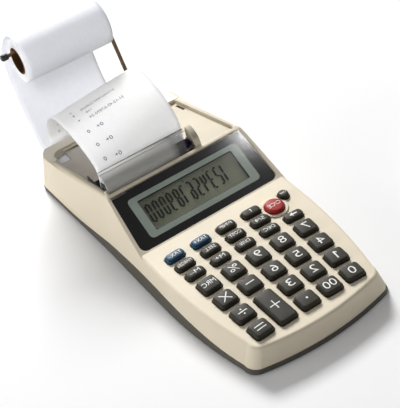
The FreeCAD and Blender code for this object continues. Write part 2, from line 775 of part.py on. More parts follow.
# Lower shell: floor, walls up to the arched joint line, posts, battery bay and door opening.
low_outer = outer.common(parting_region(False, -0.05))
low_hollow = inner.common(box(-99, 99, -150, 150, size.floor_wall, 60))
low_outer = low_outer.common(box(-99, 99, -150, rear + 5, 0, 60))
tray = low_outer.cut(low_hollow)
tray = tray.cut(box(-size.door_half_width - size.door_gap, size.door_half_width + size.door_gap,
                    door_front - size.door_gap, rear + 5, -1, size.door_thickness + size.door_gap + 6))
cell_z = size.door_thickness + size.door_gap + 0.2 + size.cell_diameter / 2
cradle_w = 2 * size.cell_pitch + 0.6
wall = size.wall
cradle = box(-cradle_w - wall, cradle_w + wall, door_front - 0.6 - wall, door_front - 0.6, 0.0, 13.0)
for side in (-1, 1):
    x0 = side * (cradle_w + wall / 2) - wall / 2
    cradle = cradle.fuse(box(x0, x0 + wall, door_front - 0.6, rear - 8.0, size.floor_wall + 0.4, 13.0))
cradle = cradle.cut(box(-size.door_half_width - size.door_gap, size.door_half_width + size.door_gap,
                        door_front - size.door_gap, rear + 5, -1, size.door_thickness + size.door_gap))
cradle = cradle.cut(box(motor_x + 2.7, motor_x + motor_length - 2.7, motor_y - 5.1, motor_y - 2.1, size.floor_wall, 20))
tray = tray.fuse(cradle)
for x, distance in BOSSES:
    spot = boss_at(x, distance)
    post = Part.makeCylinder(size.boss_diameter / 2, boss_split - 0.3, Vector(spot.x, spot.y, 0))
    tray = tray.fuse(post.common(drafted_body(size.wall + 0.2)))
    tray = tray.cut(Part.makeCylinder(size.screw_diameter / 2 + 0.2, 20, Vector(spot.x, spot.y, -1)))
    tray = tray.cut(Part.makeCylinder(size.screw_head_diameter / 2 + 0.3, 5.0, Vector(spot.x, spot.y, -1)))
board_low = -size.board_depth_below_keys - size.board_thickness
for x, distance in [(-30.0, 38.0), (30.0, 38.0), (-30.0, 92.0), (30.0, 92.0)]:
    y = from_front(distance)
    reach = keypad_height(y) + board_low / math.cos(tilt) - 0.45
    tray = tray.fuse(Part.makeCylinder(2.5, reach, Vector(x, y, 0)))
front_foot = size.front_half_width - 10.0
rear_foot = size.rear_half_width - 9.2
FEET = [(-front_foot, 12.0), (front_foot, 12.0), (-rear_foot, 210.0), (rear_foot, 210.0)]
for x, distance in FEET:
    y = from_front(distance)
    tray = tray.cut(Part.makeCylinder(size.foot_diameter / 2 + 0.1, size.foot_recess + 1, Vector(x, y, -1)))
tray = tray.cut(rod_x(jack_face - size.jack_length, jack_face + 0.3, jack_y, size.jack_height, size.jack_diameter / 2 + 0.15))
feature("bottom_case", tray)

# Cover over the rear of the bay, above the slot that the paper enters by.
cover_w = size.cover_half_width
cover_region = box(-cover_w, cover_w, cover_front, rear + 5, cover_low, 60)
cover = outer.common(top_prism(0.0)).common(cover_region)
cross_front = cover_front + size.cover_opening
cover_inside = side_prism([
    (cross_front + 2.0, cover_low - 1),
    (cross_front + 2.0, size.rear_top_height - 1.6),
    (rear - 9.0, size.rear_top_height - 2.0),
    (rear - 6.4, cover_low + 1.6),
    (rear - 6.4, cover_low - 1),
])
cover = cover.cut(cover_inside.common(box(-cover_w + 6.0, cover_w - 6.0, -150, 150, 0, 60)))
opening = box(-bay_w + 0.6, paper_right + 1.2, cover_front - 20.0, cross_front, 0, 60)
turned = [edge for edge in opening.Edges if edge.BoundBox.ZLength > 50 and edge.BoundBox.YMin > cross_front - 1]
opening = opening.makeFillet(6.5, turned)
cover = cover.cut(opening)
step = box(-bay_w + 9.0, deck_left - 8.0, cross_front - 1.0, cross_front + 1.0, cover_low + 2.2, size.rim_rear_height - 2.6)
cover = cover.fuse(step)
feature("rear_cover", cover)

# Display: smoked lens flush with the slope and the liquid crystal panel under it.
lens = feature("display_lens", lens_plan(0.0, -size.lens_thickness, 0.0))
lens.Placement = lens_place
panel = doc.addObject("Part::Box", "lcd_panel")
bind(panel, Length="Sizes.lcd_width", Width="Sizes.lcd_depth", Height="Sizes.lcd_thickness")
panel_offset = Vector(-size.lcd_width / 2, size.lcd_middle - size.lcd_depth / 2,
                      ledge_low - size.lcd_thickness - 0.2)
panel.Placement = lens_place.multiply(Placement(panel_offset, Rotation()))
keep("lcd_panel", panel)

# Circuit board and the rubber mat with one button under each key. Both follow the case's
# outline and pass round the screw bosses.
board_front = -3 * size.row_pitch - 7.4
deck_place = keypad_placement(0, 0)


def inside_case(shape, inset, boss_gap):
    """Trim a flat piece to the inside of the case and clear the screw bosses."""
    fitted = placed(shape, deck_place).common(drafted_body(size.wall + inset))
    for x, distance in BOSSES:
        spot = boss_at(x, distance)
        fitted = fitted.cut(Part.makeCylinder(size.boss_diameter / 2 + boss_gap, 60, Vector(spot.x, spot.y, -5)))
    return fitted


board = box(-size.board_width / 2, size.board_width / 2, board_front, board_front + size.board_length,
            board_low, board_low + size.board_thickness)
feature("main_board", inside_case(board, 0.8, 0.5))
mat_low = board_low + size.board_thickness + 0.05
mat = box(-size.board_width / 2, size.board_width / 2, board_front + 1,
          board_front + size.board_length - 1, mat_low, mat_low + size.mat_thickness)
buttons = []
for node, shape, x, along, turn in PLACES:
    buttons.append(Part.makeCylinder(size.mat_button_diameter / 2, size.mat_thickness + size.mat_button_height,
                                     Vector(x, along, mat_low)))
feature("keypad_mat", inside_case(mat.fuse(buttons), 1.6, 1.0))


def gear_plan(teeth, shift_angle):
    """Outline of a spur gear with short straight-flanked teeth, in the YZ plane."""
    module = size.gear_module
    pitch_r = module * teeth / 2
    outer_r = pitch_r + 0.78 * module
    root_r = pitch_r - 1.05 * module
    step = 2 * math.pi / teeth
    points = []
    for i in range(int(teeth)):
        middle = i * step + shift_angle
        for radius, share in ((root_r, -0.30), (pitch_r, -0.215), (outer_r, -0.105), (outer_r, 0.105),
                              (pitch_r, 0.215), (root_r, 0.30)):
            angle = middle + share * step
            points.append(Vector(0, radius * math.cos(angle), radius * math.sin(angle)))
    points.append(points[0])
    return Part.Face(Part.makePolygon(points))


def spur_gear(teeth, x, y, z, shift_angle):
    plan = gear_plan(teeth, shift_angle)
    plan.translate(Vector(x, y, z))
    return plan.extrude(Vector(size.gear_width, 0, 0))


# Printing mechanism: frame plates, platen, type drum, ink roller, gears and motor.
plates = []
for x0 in (plate_left, plate_right):
    plate = box(x0, x0 + size.side_plate, frame_front, frame_back, frame_low, frame_high)
    ear_top = box(x0, x0 + size.side_plate, ink_y - 3.2, ink_y + 3.2, frame_high - 1, ink_z + 2.4)
    plate = plate.fuse(ear_top)
    for y, z in ((platen_y, axis_z), (drum_y, axis_z), (ink_y, ink_z)):
        plate = plate.cut(rod_x(x0 - 1, x0 + size.side_plate + 1, y, z, axle_r + run))
    plates.append(plate)
cross = box(plate_left, plate_right + size.side_plate, frame_front, frame_front + 1.2, frame_low, frame_low + 9.0)
base = box(plate_left, plate_right + size.side_plate, frame_front, frame_front + 9.0, frame_low, frame_low + 1.2)
motor_mount = box(plate_right, plate_right + size.side_plate, motor_y - 7.5, motor_y + 7.5, motor_z - 7.2, axis_z)
frame = plates[0].fuse([plates[1], cross, base, motor_mount])
frame = frame.cut(rod_x(plate_right - 1, plate_right + size.side_plate + 1, motor_y, motor_z, 1.4))
frame = frame.cut(rod_x(plate_right - 1, plate_right + size.side_plate + 1, platen_y, axis_z, axle_r + run))
frame = frame.cut(box(-99, 99, frame_front - 1, crest.y + 0.5, axis_z + 3.4, 60))
legs = []
for x0 in (plate_left, plate_right):
    legs.append(box(x0, x0 + size.side_plate, frame_front + 1, frame_front + 6, size.floor_wall + 0.1, frame_low + 0.5))
guide = box(plate_left, plate_right + 0.3, frame_back - 1.2, bay_back - 0.6, frame_low + 1.8, frame_low + 2.8)
guide = guide.fuse(box(-bay_w + 9.0, paper_right - 3.0, bay_back - 1.0, bay_back + 7.6, frame_low + 1.8, frame_low + 2.8))
frame = frame.fuse(legs + [guide])
feature("printer_frame", frame)


def roller(node, radius, y, z, x0, x1, shaft_x0, shaft_x1):
    """Plain roller on its axle, built from two cylinders."""
    body_of = doc.addObject("Part::Cylinder", node + "_sleeve")
    body_of.Radius = radius
    body_of.Height = x1 - x0
    body_of.Placement = Placement(Vector(x0, y, z), Rotation(Vector(0, 1, 0), 90))
    shaft = doc.addObject("Part::Cylinder", node + "_axle")
    bind(shaft, Radius="Sizes.axle_diameter / 2")
    shaft.Height = shaft_x1 - shaft_x0
    shaft.Placement = Placement(Vector(shaft_x0, y, z), Rotation(Vector(0, 1, 0), 90))
    both = doc.addObject("Part::Fuse", node)
    both.Base = body_of
    both.Tool = shaft
    keep(node, both)
    return body_of


shaft_left = plate_left + 0.1
shaft_right = gear_x + size.gear_width
sleeve_left = plate_left + size.side_plate + 0.4
sleeve_right = plate_right - 0.4
platen = roller("platen_roller", size.platen_diameter / 2, platen_y, axis_z, sleeve_left, sleeve_right,
                shaft_left, shaft_right)
bind(platen, Radius="Sizes.platen_diameter / 2")
ink = roller("ink_roller", size.ink_roller_diameter / 2, ink_y, ink_z, sleeve_left + 1, sleeve_right - 1,
             shaft_left, plate_right + size.side_plate - 0.1)
bind(ink, Radius="Sizes.ink_roller_diameter / 2")

ring_count = 14
drum = rod_x(sleeve_left, sleeve_right, drum_y, axis_z, size.drum_diameter / 2)
ring_pitch = (sleeve_right - sleeve_left) / ring_count
for i in range(1, ring_count):
    x = sleeve_left + i * ring_pitch
    ring = rod_x(x - 0.3, x + 0.3, drum_y, axis_z, size.drum_diameter / 2 + 1)
    drum = drum.cut(ring.cut(rod_x(x - 1, x + 1, drum_y, axis_z, size.drum_diameter / 2 - 0.6)))
drum = drum.fuse(rod_x(shaft_left, shaft_right, drum_y, axis_z, axle_r))
drum = drum.fuse(spur_gear(size.gear_teeth, gear_x, drum_y, axis_z, 0.0))
feature("type_drum", drum)

platen_gear = spur_gear(size.gear_teeth, gear_x, platen_y, axis_z, math.pi - math.pi / size.gear_teeth)
platen_gear = platen_gear.cut(rod_x(gear_x - 1, shaft_right + 1, platen_y, axis_z, axle_r))
feature("platen_gear", platen_gear)

# The pinion's tooth stands in a gap of the platen gear, on the line between the axes.
half_step = math.pi / size.gear_teeth
gear_phase = (pinion_angle - (math.pi - half_step)) % (2 * half_step)
pinion_phase = pinion_angle + math.pi + (gear_phase - half_step) * size.gear_teeth / size.pinion_teeth
pinion = spur_gear(size.pinion_teeth, gear_x, motor_y, motor_z, pinion_phase)
pinion = pinion.cut(rod_x(gear_x - 1, gear_x + size.gear_width + 1, motor_y, motor_z, 0.8))
feature("motor_pinion", pinion)

motor = rod_x(motor_x, motor_x + motor_length, motor_y, motor_z, size.motor_diameter / 2)
motor = motor.fuse(rod_x(motor_x - 1.2, motor_x, motor_y, motor_z, 1.6))
motor = motor.fuse(rod_x(gear_x + 0.2, motor_x, motor_y, motor_z, 0.75))
motor = motor.fuse(box(motor_x + 3, motor_x + motor_length - 3, motor_y - 4.8, motor_y - 2.4,
                       stand_low, motor_z))
feature("print_motor", motor)


# Tear window: a quarter of a tube with a hinge pin along its front lower edge.
window_out = size.window_radius
window_in = window_out - size.window_thickness
tube = rod_x(window_left, window_right, window_y, window_z, window_out)
tube = tube.cut(rod_x(window_left - 1, window_right + 1, window_y, window_z, window_in))
quarter = box(-99, 99, window_y - 20, window_y, window_z, window_z + 20)
glass = tube.common(quarter)
lip = box(window_left, paper_right, window_y - 2.2, window_y + 0.5, size.tear_height - 0.9, size.tear_height)
glass = glass.fuse(lip)
glass = glass.fuse(rod_x(-bay_w - 0.9, window_left + 2, hinge_y, hinge_z, pin_r))
glass = glass.fuse(rod_x(window_right - 2, 18.2, hinge_y, hinge_z, pin_r))
feature("tear_window", glass)


def sheet_profile(points, thickness, x):
    """Closed outline of a thin sheet that follows smooth (y, z) points."""
    path = [Vector(x, y, z) for y, z in points]
    curve = Part.BSplineCurve()
    curve.interpolate(path)
    count = len(path)
    inner_points = []
    for i in range(count):
        before = path[max(i - 1, 0)]
        after = path[min(i + 1, count - 1)]
        direction = (after - before).normalize()
        normal = Vector(0, -direction.z, direction.y)
        inner_points.append(path[i] - normal * thickness)
    back = Part.BSplineCurve()
    back.interpolate(inner_points)
    edges = [
        curve.toShape(),
        line(path[-1], inner_points[-1]),
        back.toShape(),
        line(inner_points[0], path[0]),
    ]
    return Part.Wire(Part.__sortEdges__(edges))


def sheet_solid(left_points, right_points, thickness):
    low = sheet_profile(left_points, thickness, paper_left)
    high = sheet_profile(right_points, thickness, paper_right)
    return Part.makeLoft([low, high], True, True)


# Roll of paper on its core, hanging from the wire arm.
core_in = size.core_inner_diameter / 2
core_out = core_in + size.core_wall
roll_r = size.roll_diameter / 2
rod_y = pivot_y + size.arm_reach_back
rod_z = pivot_z + size.arm_reach_up
roll_y = rod_y
roll_z = rod_z - (core_in - wire_r) + size.axle_clearance


def tube_x(node, outside, inside):
    """Tube across the paper's width round the roll's axis."""
    rim = doc.addObject("Part::Cylinder", node + "_outside")
    bore = doc.addObject("Part::Cylinder", node + "_bore")
    bind(rim, Radius=outside, Height="Sizes.paper_width")
    bind(bore, Radius=inside, Height="Sizes.paper_width + 4")
    rim.Placement = Placement(Vector(paper_left, roll_y, roll_z), Rotation(Vector(0, 1, 0), 90))
    bore.Placement = Placement(Vector(paper_left - 2, roll_y, roll_z), Rotation(Vector(0, 1, 0), 90))
    tube_cut = doc.addObject("Part::Cut", node)
    tube_cut.Base = rim
    tube_cut.Tool = bore
    return keep(node, tube_cut)


tube_x("paper_core", "Sizes.core_inner_diameter / 2 + Sizes.core_wall", "Sizes.core_inner_diameter / 2")
tube_x("paper_roll", "Sizes.roll_diameter / 2", "Sizes.core_inner_diameter / 2 + Sizes.core_wall")


def around_roll(angle, gap):
    radius = roll_r + gap
    turn = math.radians(angle)
    return roll_y + radius * math.cos(turn), roll_z + radius * math.sin(turn)


slot_z = size.slot_height
web = [around_roll(angle, 0.5 + 0.012 * (150 - angle)) for angle in (150, 120, 90, 60)]
web += [
    (roll_y + 24.5, roll_z - 5.5),
    (roll_y + 24.5, roll_z - 24.0),
    (roll_y + 18.0, roll_z - 43.4),
    (roll_y + 9.8, roll_z - 56.5),
    (rear - 0.8, slot_z + 3.0),
    (rear - 3.8, slot_z + 0.7),
    (rear - 9.0, slot_z + 0.1),
    (bay_back - 8.0, slot_z),
    (platen_y + 13.0, slot_z + 0.1),
    (platen_y + 5.0, axis_z - 8.6),
    (platen_y - 3.6, axis_z - 5.6),
    (platen_y - 6.2, axis_z + 0.6),
    (platen_y - 7.0, axis_z + 8.5),
    (window_y + 1.3, size.tear_height - 3.2),
]
feature("paper_web", sheet_solid(web, web, size.paper_thickness))

exit_point = (window_y + 1.3, size.tear_height - 3.0)
left_sheet = [
    exit_point,
    (window_y + 3.0, size.tear_height + 1.6),
    (window_y + 9.0, size.tear_height + 5.9),
    (window_y + 21.0, size.tear_height + 10.9),
    (window_y + 35.0, size.tear_height + 13.9),
    (window_y + 48.0, size.tear_height + 13.4),
    (window_y + 57.0, size.tear_height + 7.5),
    (window_y + 63.5, size.tear_height - 2.5),
    (window_y + 65.5, size.tear_height - 10.5),
    (window_y + 64.0, size.tear_height - 14.0),
]
right_sheet = [
    exit_point,
    (window_y + 2.7, size.tear_height + 3.0),
    (window_y + 7.5, size.tear_height + 10.0),
    (window_y + 18.0, size.tear_height + 17.4),
    (window_y + 32.0, size.tear_height + 22.2),
    (window_y + 45.0, size.tear_height + 22.0),
    (window_y + 54.5, size.tear_height + 16.0),
    (window_y + 60.5, size.tear_height + 6.0),
    (window_y + 62.5, size.tear_height - 4.0),
    (window_y + 62.0, size.tear_height - 11.0),
]
feature("printed_paper", sheet_solid(left_sheet, right_sheet, size.paper_thickness))

# Paper arm: one bent wire, a foot in the deck's ears, a leaning arm and a rod through the core.
bend = size.arm_bend
lean_dir = Vector(0, size.arm_reach_back, size.arm_reach_up).normalize()
foot_end = Vector(arm_x + size.arm_foot, pivot_y, pivot_z)
low_corner = Vector(arm_x, pivot_y, pivot_z)
high_corner = Vector(arm_x, rod_y, rod_z)
rod_end = Vector(paper_left - size.arm_overhang, rod_y, rod_z)
side = Vector(1, 0, 0)
half_turn = math.sqrt(0.5)


def corner_arc(start, corner, finish):
    """Quarter bend between two runs that meet at a right angle."""
    into = (corner - start).normalize()
    out = (finish - corner).normalize()
    first = corner - into * bend
    last = corner + out * bend
    centre = first + out * bend
    middle = centre + (into - out) * bend * half_turn
    return first, middle, last


low_bend = corner_arc(foot_end, low_corner, high_corner)
high_bend = corner_arc(low_corner, high_corner, rod_end)
path = Part.Wire([
    line(foot_end, low_bend[0]),
    arc(*low_bend),
    line(low_bend[2], high_bend[0]),
    arc(*high_bend),
    line(high_bend[2], rod_end),
])
start_disc = Part.Wire(Part.makeCircle(wire_r, foot_end, side))
arm_shape = path.makePipeShell([start_disc], True, True)
feature("paper_arm", arm_shape)
cap = doc.addObject("Part::Cylinder", "arm_cap_blank")
bind(cap, Radius="Sizes.arm_cap_diameter / 2", Height="Sizes.arm_cap_length")
cap.Placement = Placement(rod_end + Vector(1.6 - size.arm_cap_length, 0, 0), Rotation(Vector(0, 1, 0), 90))
doc.recompute()
cap_shape = cap.Shape.makeFillet(1.5, [cap.Shape.Edges[i] for i in range(len(cap.Shape.Edges))
                                        if cap.Shape.Edges[i].Closed])
cap_shape = cap_shape.cut(rod_x(rod_end.x, rod_end.x + 9, rod_y, rod_z, wire_r))
feature("arm_cap", cap_shape)

# Batteries in the lower shell, the sliding door under them, and the fasteners.
cells = []
for i in range(4):
    x = (i - 1.5) * size.cell_pitch
    flip = i % 2
    can = Part.makeCylinder(size.cell_diameter / 2, size.cell_length - 1.4, Vector(x, cell_front + 1.4 * flip, cell_z),
                            Vector(0, 1, 0))
    nub_y = cell_front if flip else cell_front + size.cell_length - 1.4
    nub = Part.makeCylinder(2.6, 1.4, Vector(x, nub_y, cell_z), Vector(0, 1, 0))
    cells.append(can.fuse(nub))
feature("battery_cells", Part.makeCompound(cells))

door_w = size.door_half_width
door = outer.common(box(-door_w, door_w, door_front, rear + 5, 0, size.door_thickness))
door_wall = outer.common(parting_region(False, -0.35)).common(
    box(-door_w, door_w, rear - size.wall, rear + 5, 0, 20))
door = door.fuse(door_wall)
grips = [box(-9.0, 9.0, door_front + 8.0 + 2.0 * i, door_front + 8.9 + 2.0 * i, -1, 0.5) for i in range(5)]
door = door.cut(Part.makeCompound(grips))
feature("battery_door", door)

screws = []
for x, distance in BOSSES:
    spot = boss_at(x, distance)
    head = Part.makeCylinder(size.screw_head_diameter / 2, 1.8, Vector(spot.x, spot.y, 2.2))
    shank = Part.makeCylinder(size.screw_diameter / 2 - 0.03, 9.4, Vector(spot.x, spot.y, 2.2))
    slot_one = box(spot.x - 1.8, spot.x + 1.8, spot.y - 0.35, spot.y + 0.35, 2.0, 3.0)
    slot_two = box(spot.x - 0.35, spot.x + 0.35, spot.y - 1.8, spot.y + 1.8, 2.0, 3.0)
    screws.append(head.fuse(shank).cut(slot_one.fuse(slot_two)))
feature("case_screws", Part.makeCompound(screws))

feet = []
for x, distance in FEET:
    foot = Part.makeCylinder(size.foot_diameter / 2, size.foot_rise + size.foot_recess,
                             Vector(x, from_front(distance), -size.foot_rise))
    lower = [edge for edge in foot.Edges if edge.Closed and edge.BoundBox.ZMax < -size.foot_rise + 0.1]
    feet.append(foot.makeFillet(0.5, lower))
feature("rubber_feet", Part.makeCompound(feet))

jack_low = jack_face - size.jack_length + 0.2
jack = rod_x(jack_low, jack_face, jack_y, size.jack_height, size.jack_diameter / 2)
jack = jack.cut(rod_x(jack_low + 1.5, jack_face + 1, jack_y, size.jack_height, size.jack_bore / 2))
jack = jack.fuse(rod_x(jack_low + 1.0, jack_face - 1.0, jack_y, size.jack_height, size.jack_pin / 2))
feature("dc_jack", jack)

doc.recompute()
os.makedirs("parts", exist_ok=True)
for thing in doc.Objects:
    if "Invalid" in thing.State or "Error" in thing.State:
        raise RuntimeError("%s failed to build" % thing.Label)
for node, thing in parts.items():
    if thing.Shape.isNull() or not thing.Shape.isValid():
        raise RuntimeError("%s has no valid shape" % node)
for node, thing in parts.items():
    thing.Shape.exportStep("parts/%s.step" % node)
print(len(parts), "parts")
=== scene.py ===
import bmesh
import bpy
import math
import random
from mathutils import Matrix, Vector


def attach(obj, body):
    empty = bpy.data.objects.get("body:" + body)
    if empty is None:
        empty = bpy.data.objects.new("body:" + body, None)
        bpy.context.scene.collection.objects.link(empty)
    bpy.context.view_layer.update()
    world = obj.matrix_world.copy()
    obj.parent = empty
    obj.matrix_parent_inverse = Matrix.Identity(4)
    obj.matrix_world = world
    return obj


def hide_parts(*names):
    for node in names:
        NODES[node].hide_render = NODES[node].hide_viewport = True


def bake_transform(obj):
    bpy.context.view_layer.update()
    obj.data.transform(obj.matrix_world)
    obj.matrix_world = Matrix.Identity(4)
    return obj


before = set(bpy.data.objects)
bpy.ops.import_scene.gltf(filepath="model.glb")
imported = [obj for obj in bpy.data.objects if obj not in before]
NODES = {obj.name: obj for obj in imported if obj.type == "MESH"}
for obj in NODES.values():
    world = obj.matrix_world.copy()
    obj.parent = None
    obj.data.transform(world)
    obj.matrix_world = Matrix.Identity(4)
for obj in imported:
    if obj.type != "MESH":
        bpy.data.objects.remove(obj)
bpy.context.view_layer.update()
MM = 0.001
random.seed(7)


# ---------------------------------------------------------------- materials

def lin(r, g, b):
    """Linear colour from 0-255 display values."""
    def one(v):
        v /= 255.0
        return v / 12.92 if v <= 0.04045 else ((v + 0.055) / 1.055) ** 2.4
    return (one(r), one(g), one(b), 1.0)


def shade(colour, factor):
    return tuple(min(1.0, c * factor) for c in colour[:3]) + (1.0,)


def new_material(name):
    mat = bpy.data.materials.new(name)
    mat.use_nodes = True
    tree = mat.node_tree
    return mat, tree.nodes, tree.links, tree.nodes["Principled BSDF"]


def feed(links, socket, value):
    """Join another node's output to a socket, or set the socket itself."""
    if isinstance(value, bpy.types.NodeSocket):
        links.new(value, socket)
    else:
        socket.default_value = value


def noise(nodes, links, scale, detail=3.0, rough=0.5, stretch=None):
    coords = nodes.new("ShaderNodeTexCoord")
    tex = nodes.new("ShaderNodeTexNoise")
    tex.inputs["Scale"].default_value = scale
    tex.inputs["Detail"].default_value = detail
    tex.inputs["Roughness"].default_value = rough
    place = coords.outputs["Object"]
    if stretch:
        mapping = nodes.new("ShaderNodeMapping")
        mapping.inputs["Scale"].default_value = stretch
        links.new(place, mapping.inputs["Vector"])
        place = mapping.outputs["Vector"]
    links.new(place, tex.inputs["Vector"])
    return tex.outputs["Fac"]


def mottle(nodes, links, source, colour, darker, lighter, places=(0.3, 0.7)):
    """Colour that drifts between two shades with a noise."""
    node = nodes.new("ShaderNodeValToRGB")
    for stop, place, factor in zip(node.color_ramp.elements, places, (darker, lighter)):
        stop.position = place
        stop.color = shade(colour, factor)
    links.new(source, node.inputs["Fac"])
    return node.outputs["Color"]


def remap(nodes, links, source, before, after=(0.0, 1.0), kind="LINEAR"):
    """Value moved from one range to another."""
    node = nodes.new("ShaderNodeMapRange")
    node.interpolation_type = kind
    for socket, value in zip(("From Min", "From Max", "To Min", "To Max"), before + after):
        node.inputs[socket].default_value = value
    links.new(source, node.inputs["Value"])
    return node.outputs["Result"]


def maths(nodes, links, operation, *values):
    node = nodes.new("ShaderNodeMath")
    node.operation = operation
    for socket, value in zip(node.inputs, values):
        feed(links, socket, value)
    return node.outputs[0]


def relief(nodes, links, height, strength, distance, normal=None):
    """Normal of a fine relief, on top of another normal where one is given."""
    node = nodes.new("ShaderNodeBump")
    node.inputs["Strength"].default_value = strength
    node.inputs["Distance"].default_value = distance
    links.new(height, node.inputs["Height"])
    if normal:
        links.new(normal, node.inputs["Normal"])
    return node.outputs["Normal"]


def soft_corners(nodes, radius, samples):
    node = nodes.new("ShaderNodeBevel")
    node.samples = samples
    node.inputs["Radius"].default_value = radius
    return node.outputs["Normal"]


def object_axes(nodes, links, kind="Object"):
    """Outputs with the X, Y and Z of a place, in metres."""
    coords = nodes.new("ShaderNodeTexCoord")
    axes = nodes.new("ShaderNodeSeparateXYZ")
    links.new(coords.outputs[kind], axes.inputs["Vector"])
    return axes.outputs


def mix_shaders(nodes, links, share, first, second):
    """Surface of a material as two shaders, the second one by its share."""
    node = nodes.new("ShaderNodeMixShader")
    feed(links, node.inputs["Fac"], share)
    links.new(first, node.inputs[1])
    links.new(second, node.inputs[2])
    links.new(node.outputs["Shader"], nodes["Material Output"].inputs["Surface"])


def second_colour(nodes, links, share, colour):
    """Another colour over a plastic's own, by its share at each place."""
    mix = nodes.new("ShaderNodeMix")
    mix.data_type = "RGBA"
    base = nodes["Principled BSDF"].inputs["Base Color"]
    links.new(share, mix.inputs[0])
    links.new(base.links[0].from_socket, mix.inputs[6])
    links.new(colour, mix.inputs[7])
    links.new(mix.outputs[2], base)


def moulded(name, colour, rough=0.45, vary=0.05, grain=0.12, grain_scale=2600.0,
            soft_edge=0.0, gloss=0.5):
    """Moulded plastic: slight tone drift, fine grain, varied gloss and soft edges."""
    mat, nodes, links, bsdf = new_material(name)
    tone = noise(nodes, links, 38.0, 4.0)
    links.new(mottle(nodes, links, tone, colour, 1 - vary, 1 + vary), bsdf.inputs["Base Color"])
    sheen = noise(nodes, links, 120.0, 5.0)
    rough_span = (rough - 0.05, rough + 0.06)
    links.new(remap(nodes, links, sheen, (0.0, 1.0), rough_span), bsdf.inputs["Roughness"])
    bsdf.inputs["Specular IOR Level"].default_value = gloss
    fine = noise(nodes, links, grain_scale, 2.0)
    edge = soft_corners(nodes, soft_edge, 6) if soft_edge else None
    links.new(relief(nodes, links, fine, grain, 0.0001, edge), bsdf.inputs["Normal"])
    return mat


def metal(name, colour, rough=0.3, stretch=(1, 40, 40), soft_edge=0.0):
    """Drawn or turned metal with fine lines along one axis."""
    mat, nodes, links, bsdf = new_material(name)
    bsdf.inputs["Metallic"].default_value = 1.0
    lines = noise(nodes, links, 60.0, 4.0, 0.6, stretch)
    links.new(mottle(nodes, links, lines, colour, 0.75, 1.15), bsdf.inputs["Base Color"])
    rough_span = (rough - 0.08, rough + 0.12)
    links.new(remap(nodes, links, lines, (0.0, 1.0), rough_span), bsdf.inputs["Roughness"])
    if soft_edge:
        links.new(soft_corners(nodes, soft_edge, 4), bsdf.inputs["Normal"])
    return mat


def paper_material(name, colour, shine_through, depth=0.0):
    """Uncoated paper: faint fibres, fine tooth and some light passing through."""
    mat, nodes, links, bsdf = new_material(name)
    fibre = noise(nodes, links, 420.0, 5.0, 0.65, (1.0, 0.5, 0.5))
    tint = mottle(nodes, links, fibre, colour, 0.975, 1.01, (0.35, 0.65))
    links.new(tint, bsdf.inputs["Base Color"])
    bsdf.inputs["Roughness"].default_value = 0.62
    bsdf.inputs["Specular IOR Level"].default_value = 0.25
    if depth:
        bsdf.inputs["Subsurface Weight"].default_value = 0.75
        bsdf.inputs["Subsurface Radius"].default_value = (1.0, 1.0, 1.0)
        bsdf.inputs["Subsurface Scale"].default_value = depth
    links.new(relief(nodes, links, fibre, 0.1, 0.00008), bsdf.inputs["Normal"])
    if shine_through:
        glow = nodes.new("ShaderNodeBsdfTranslucent")
        links.new(tint, glow.inputs["Color"])
        mix_shaders(nodes, links, shine_through, bsdf.outputs["BSDF"], glow.outputs["BSDF"])
    return mat


def clear_plastic(name, tint, gloss_rough, strength, scratch):
    """Clear sheet: tinted see-through with Fresnel gloss and faint marks."""
    mat, nodes, links, bsdf = new_material(name)
    nodes.remove(bsdf)
    through = nodes.new("ShaderNodeBsdfTransparent")
    tone = noise(nodes, links, 30.0, 3.0)
    links.new(mottle(nodes, links, tone, tint, 0.97, 1.03), through.inputs["Color"])
    shine = nodes.new("ShaderNodeBsdfGlossy")
    shine.inputs["Roughness"].default_value = gloss_rough
    shine.inputs["Color"].default_value = (strength, strength, strength, 1)
    marks = noise(nodes, links, 700.0, 4.0, 0.6, (1.0, 0.2, 0.2))
    links.new(relief(nodes, links, marks, scratch, 0.00005), shine.inputs["Normal"])
    edge = nodes.new("ShaderNodeFresnel")
    edge.inputs["IOR"].default_value = 1.5
    # Only the outer faces mirror: the sheet doesn't bend light, so its inner faces mustn't.
    facing = nodes.new("ShaderNodeNewGeometry")
    outer = maths(nodes, links, "SUBTRACT", 1.0, facing.outputs["Backfacing"])
    amount = maths(nodes, links, "MULTIPLY", edge.outputs["Fac"], outer)
    mix_shaders(nodes, links, amount, through.outputs["BSDF"], shine.outputs["BSDF"])
    return mat


def milky_plastic(name, tint, milk, cover):
    """Smoked sheet with a milky body: partly clear, partly scattering, clearer at one end."""
    mat, nodes, links, bsdf = new_material(name)
    cloud = noise(nodes, links, 60.0, 4.0)
    links.new(mottle(nodes, links, cloud, milk, 0.94, 1.05), bsdf.inputs["Base Color"])
    bsdf.inputs["Roughness"].default_value = 0.6
    bsdf.inputs["Specular IOR Level"].default_value = 0.15
    through = nodes.new("ShaderNodeBsdfTransparent")
    through.inputs["Color"].default_value = tint
    side = object_axes(nodes, links)["X"]
    # Milky up to X = 0 and nearly clear from X = 8 mm on.
    fade = remap(nodes, links, side, (0.000, 0.008), (cover, 0.12), "SMOOTHSTEP")
    mix_shaders(nodes, links, fade, through.outputs["BSDF"], bsdf.outputs["BSDF"])
    return mat


def frame_plastic(name, front_colour, rear_colour):
    """Printer frame: dark plates in front, a lighter guide plate behind them."""
    mat = moulded(name, front_colour, 0.5, 0.08, 0.2, 1600.0, 0.0002, 0.4)
    nodes, links = mat.node_tree.nodes, mat.node_tree.links
    # The guide plate starts at Y = 54 mm.
    behind = remap(nodes, links, object_axes(nodes, links)["Y"], (0.0525, 0.0540))
    light = mottle(nodes, links, noise(nodes, links, 90.0, 4.0), rear_colour, 0.95, 1.05)
    second_colour(nodes, links, behind, light)
    return mat


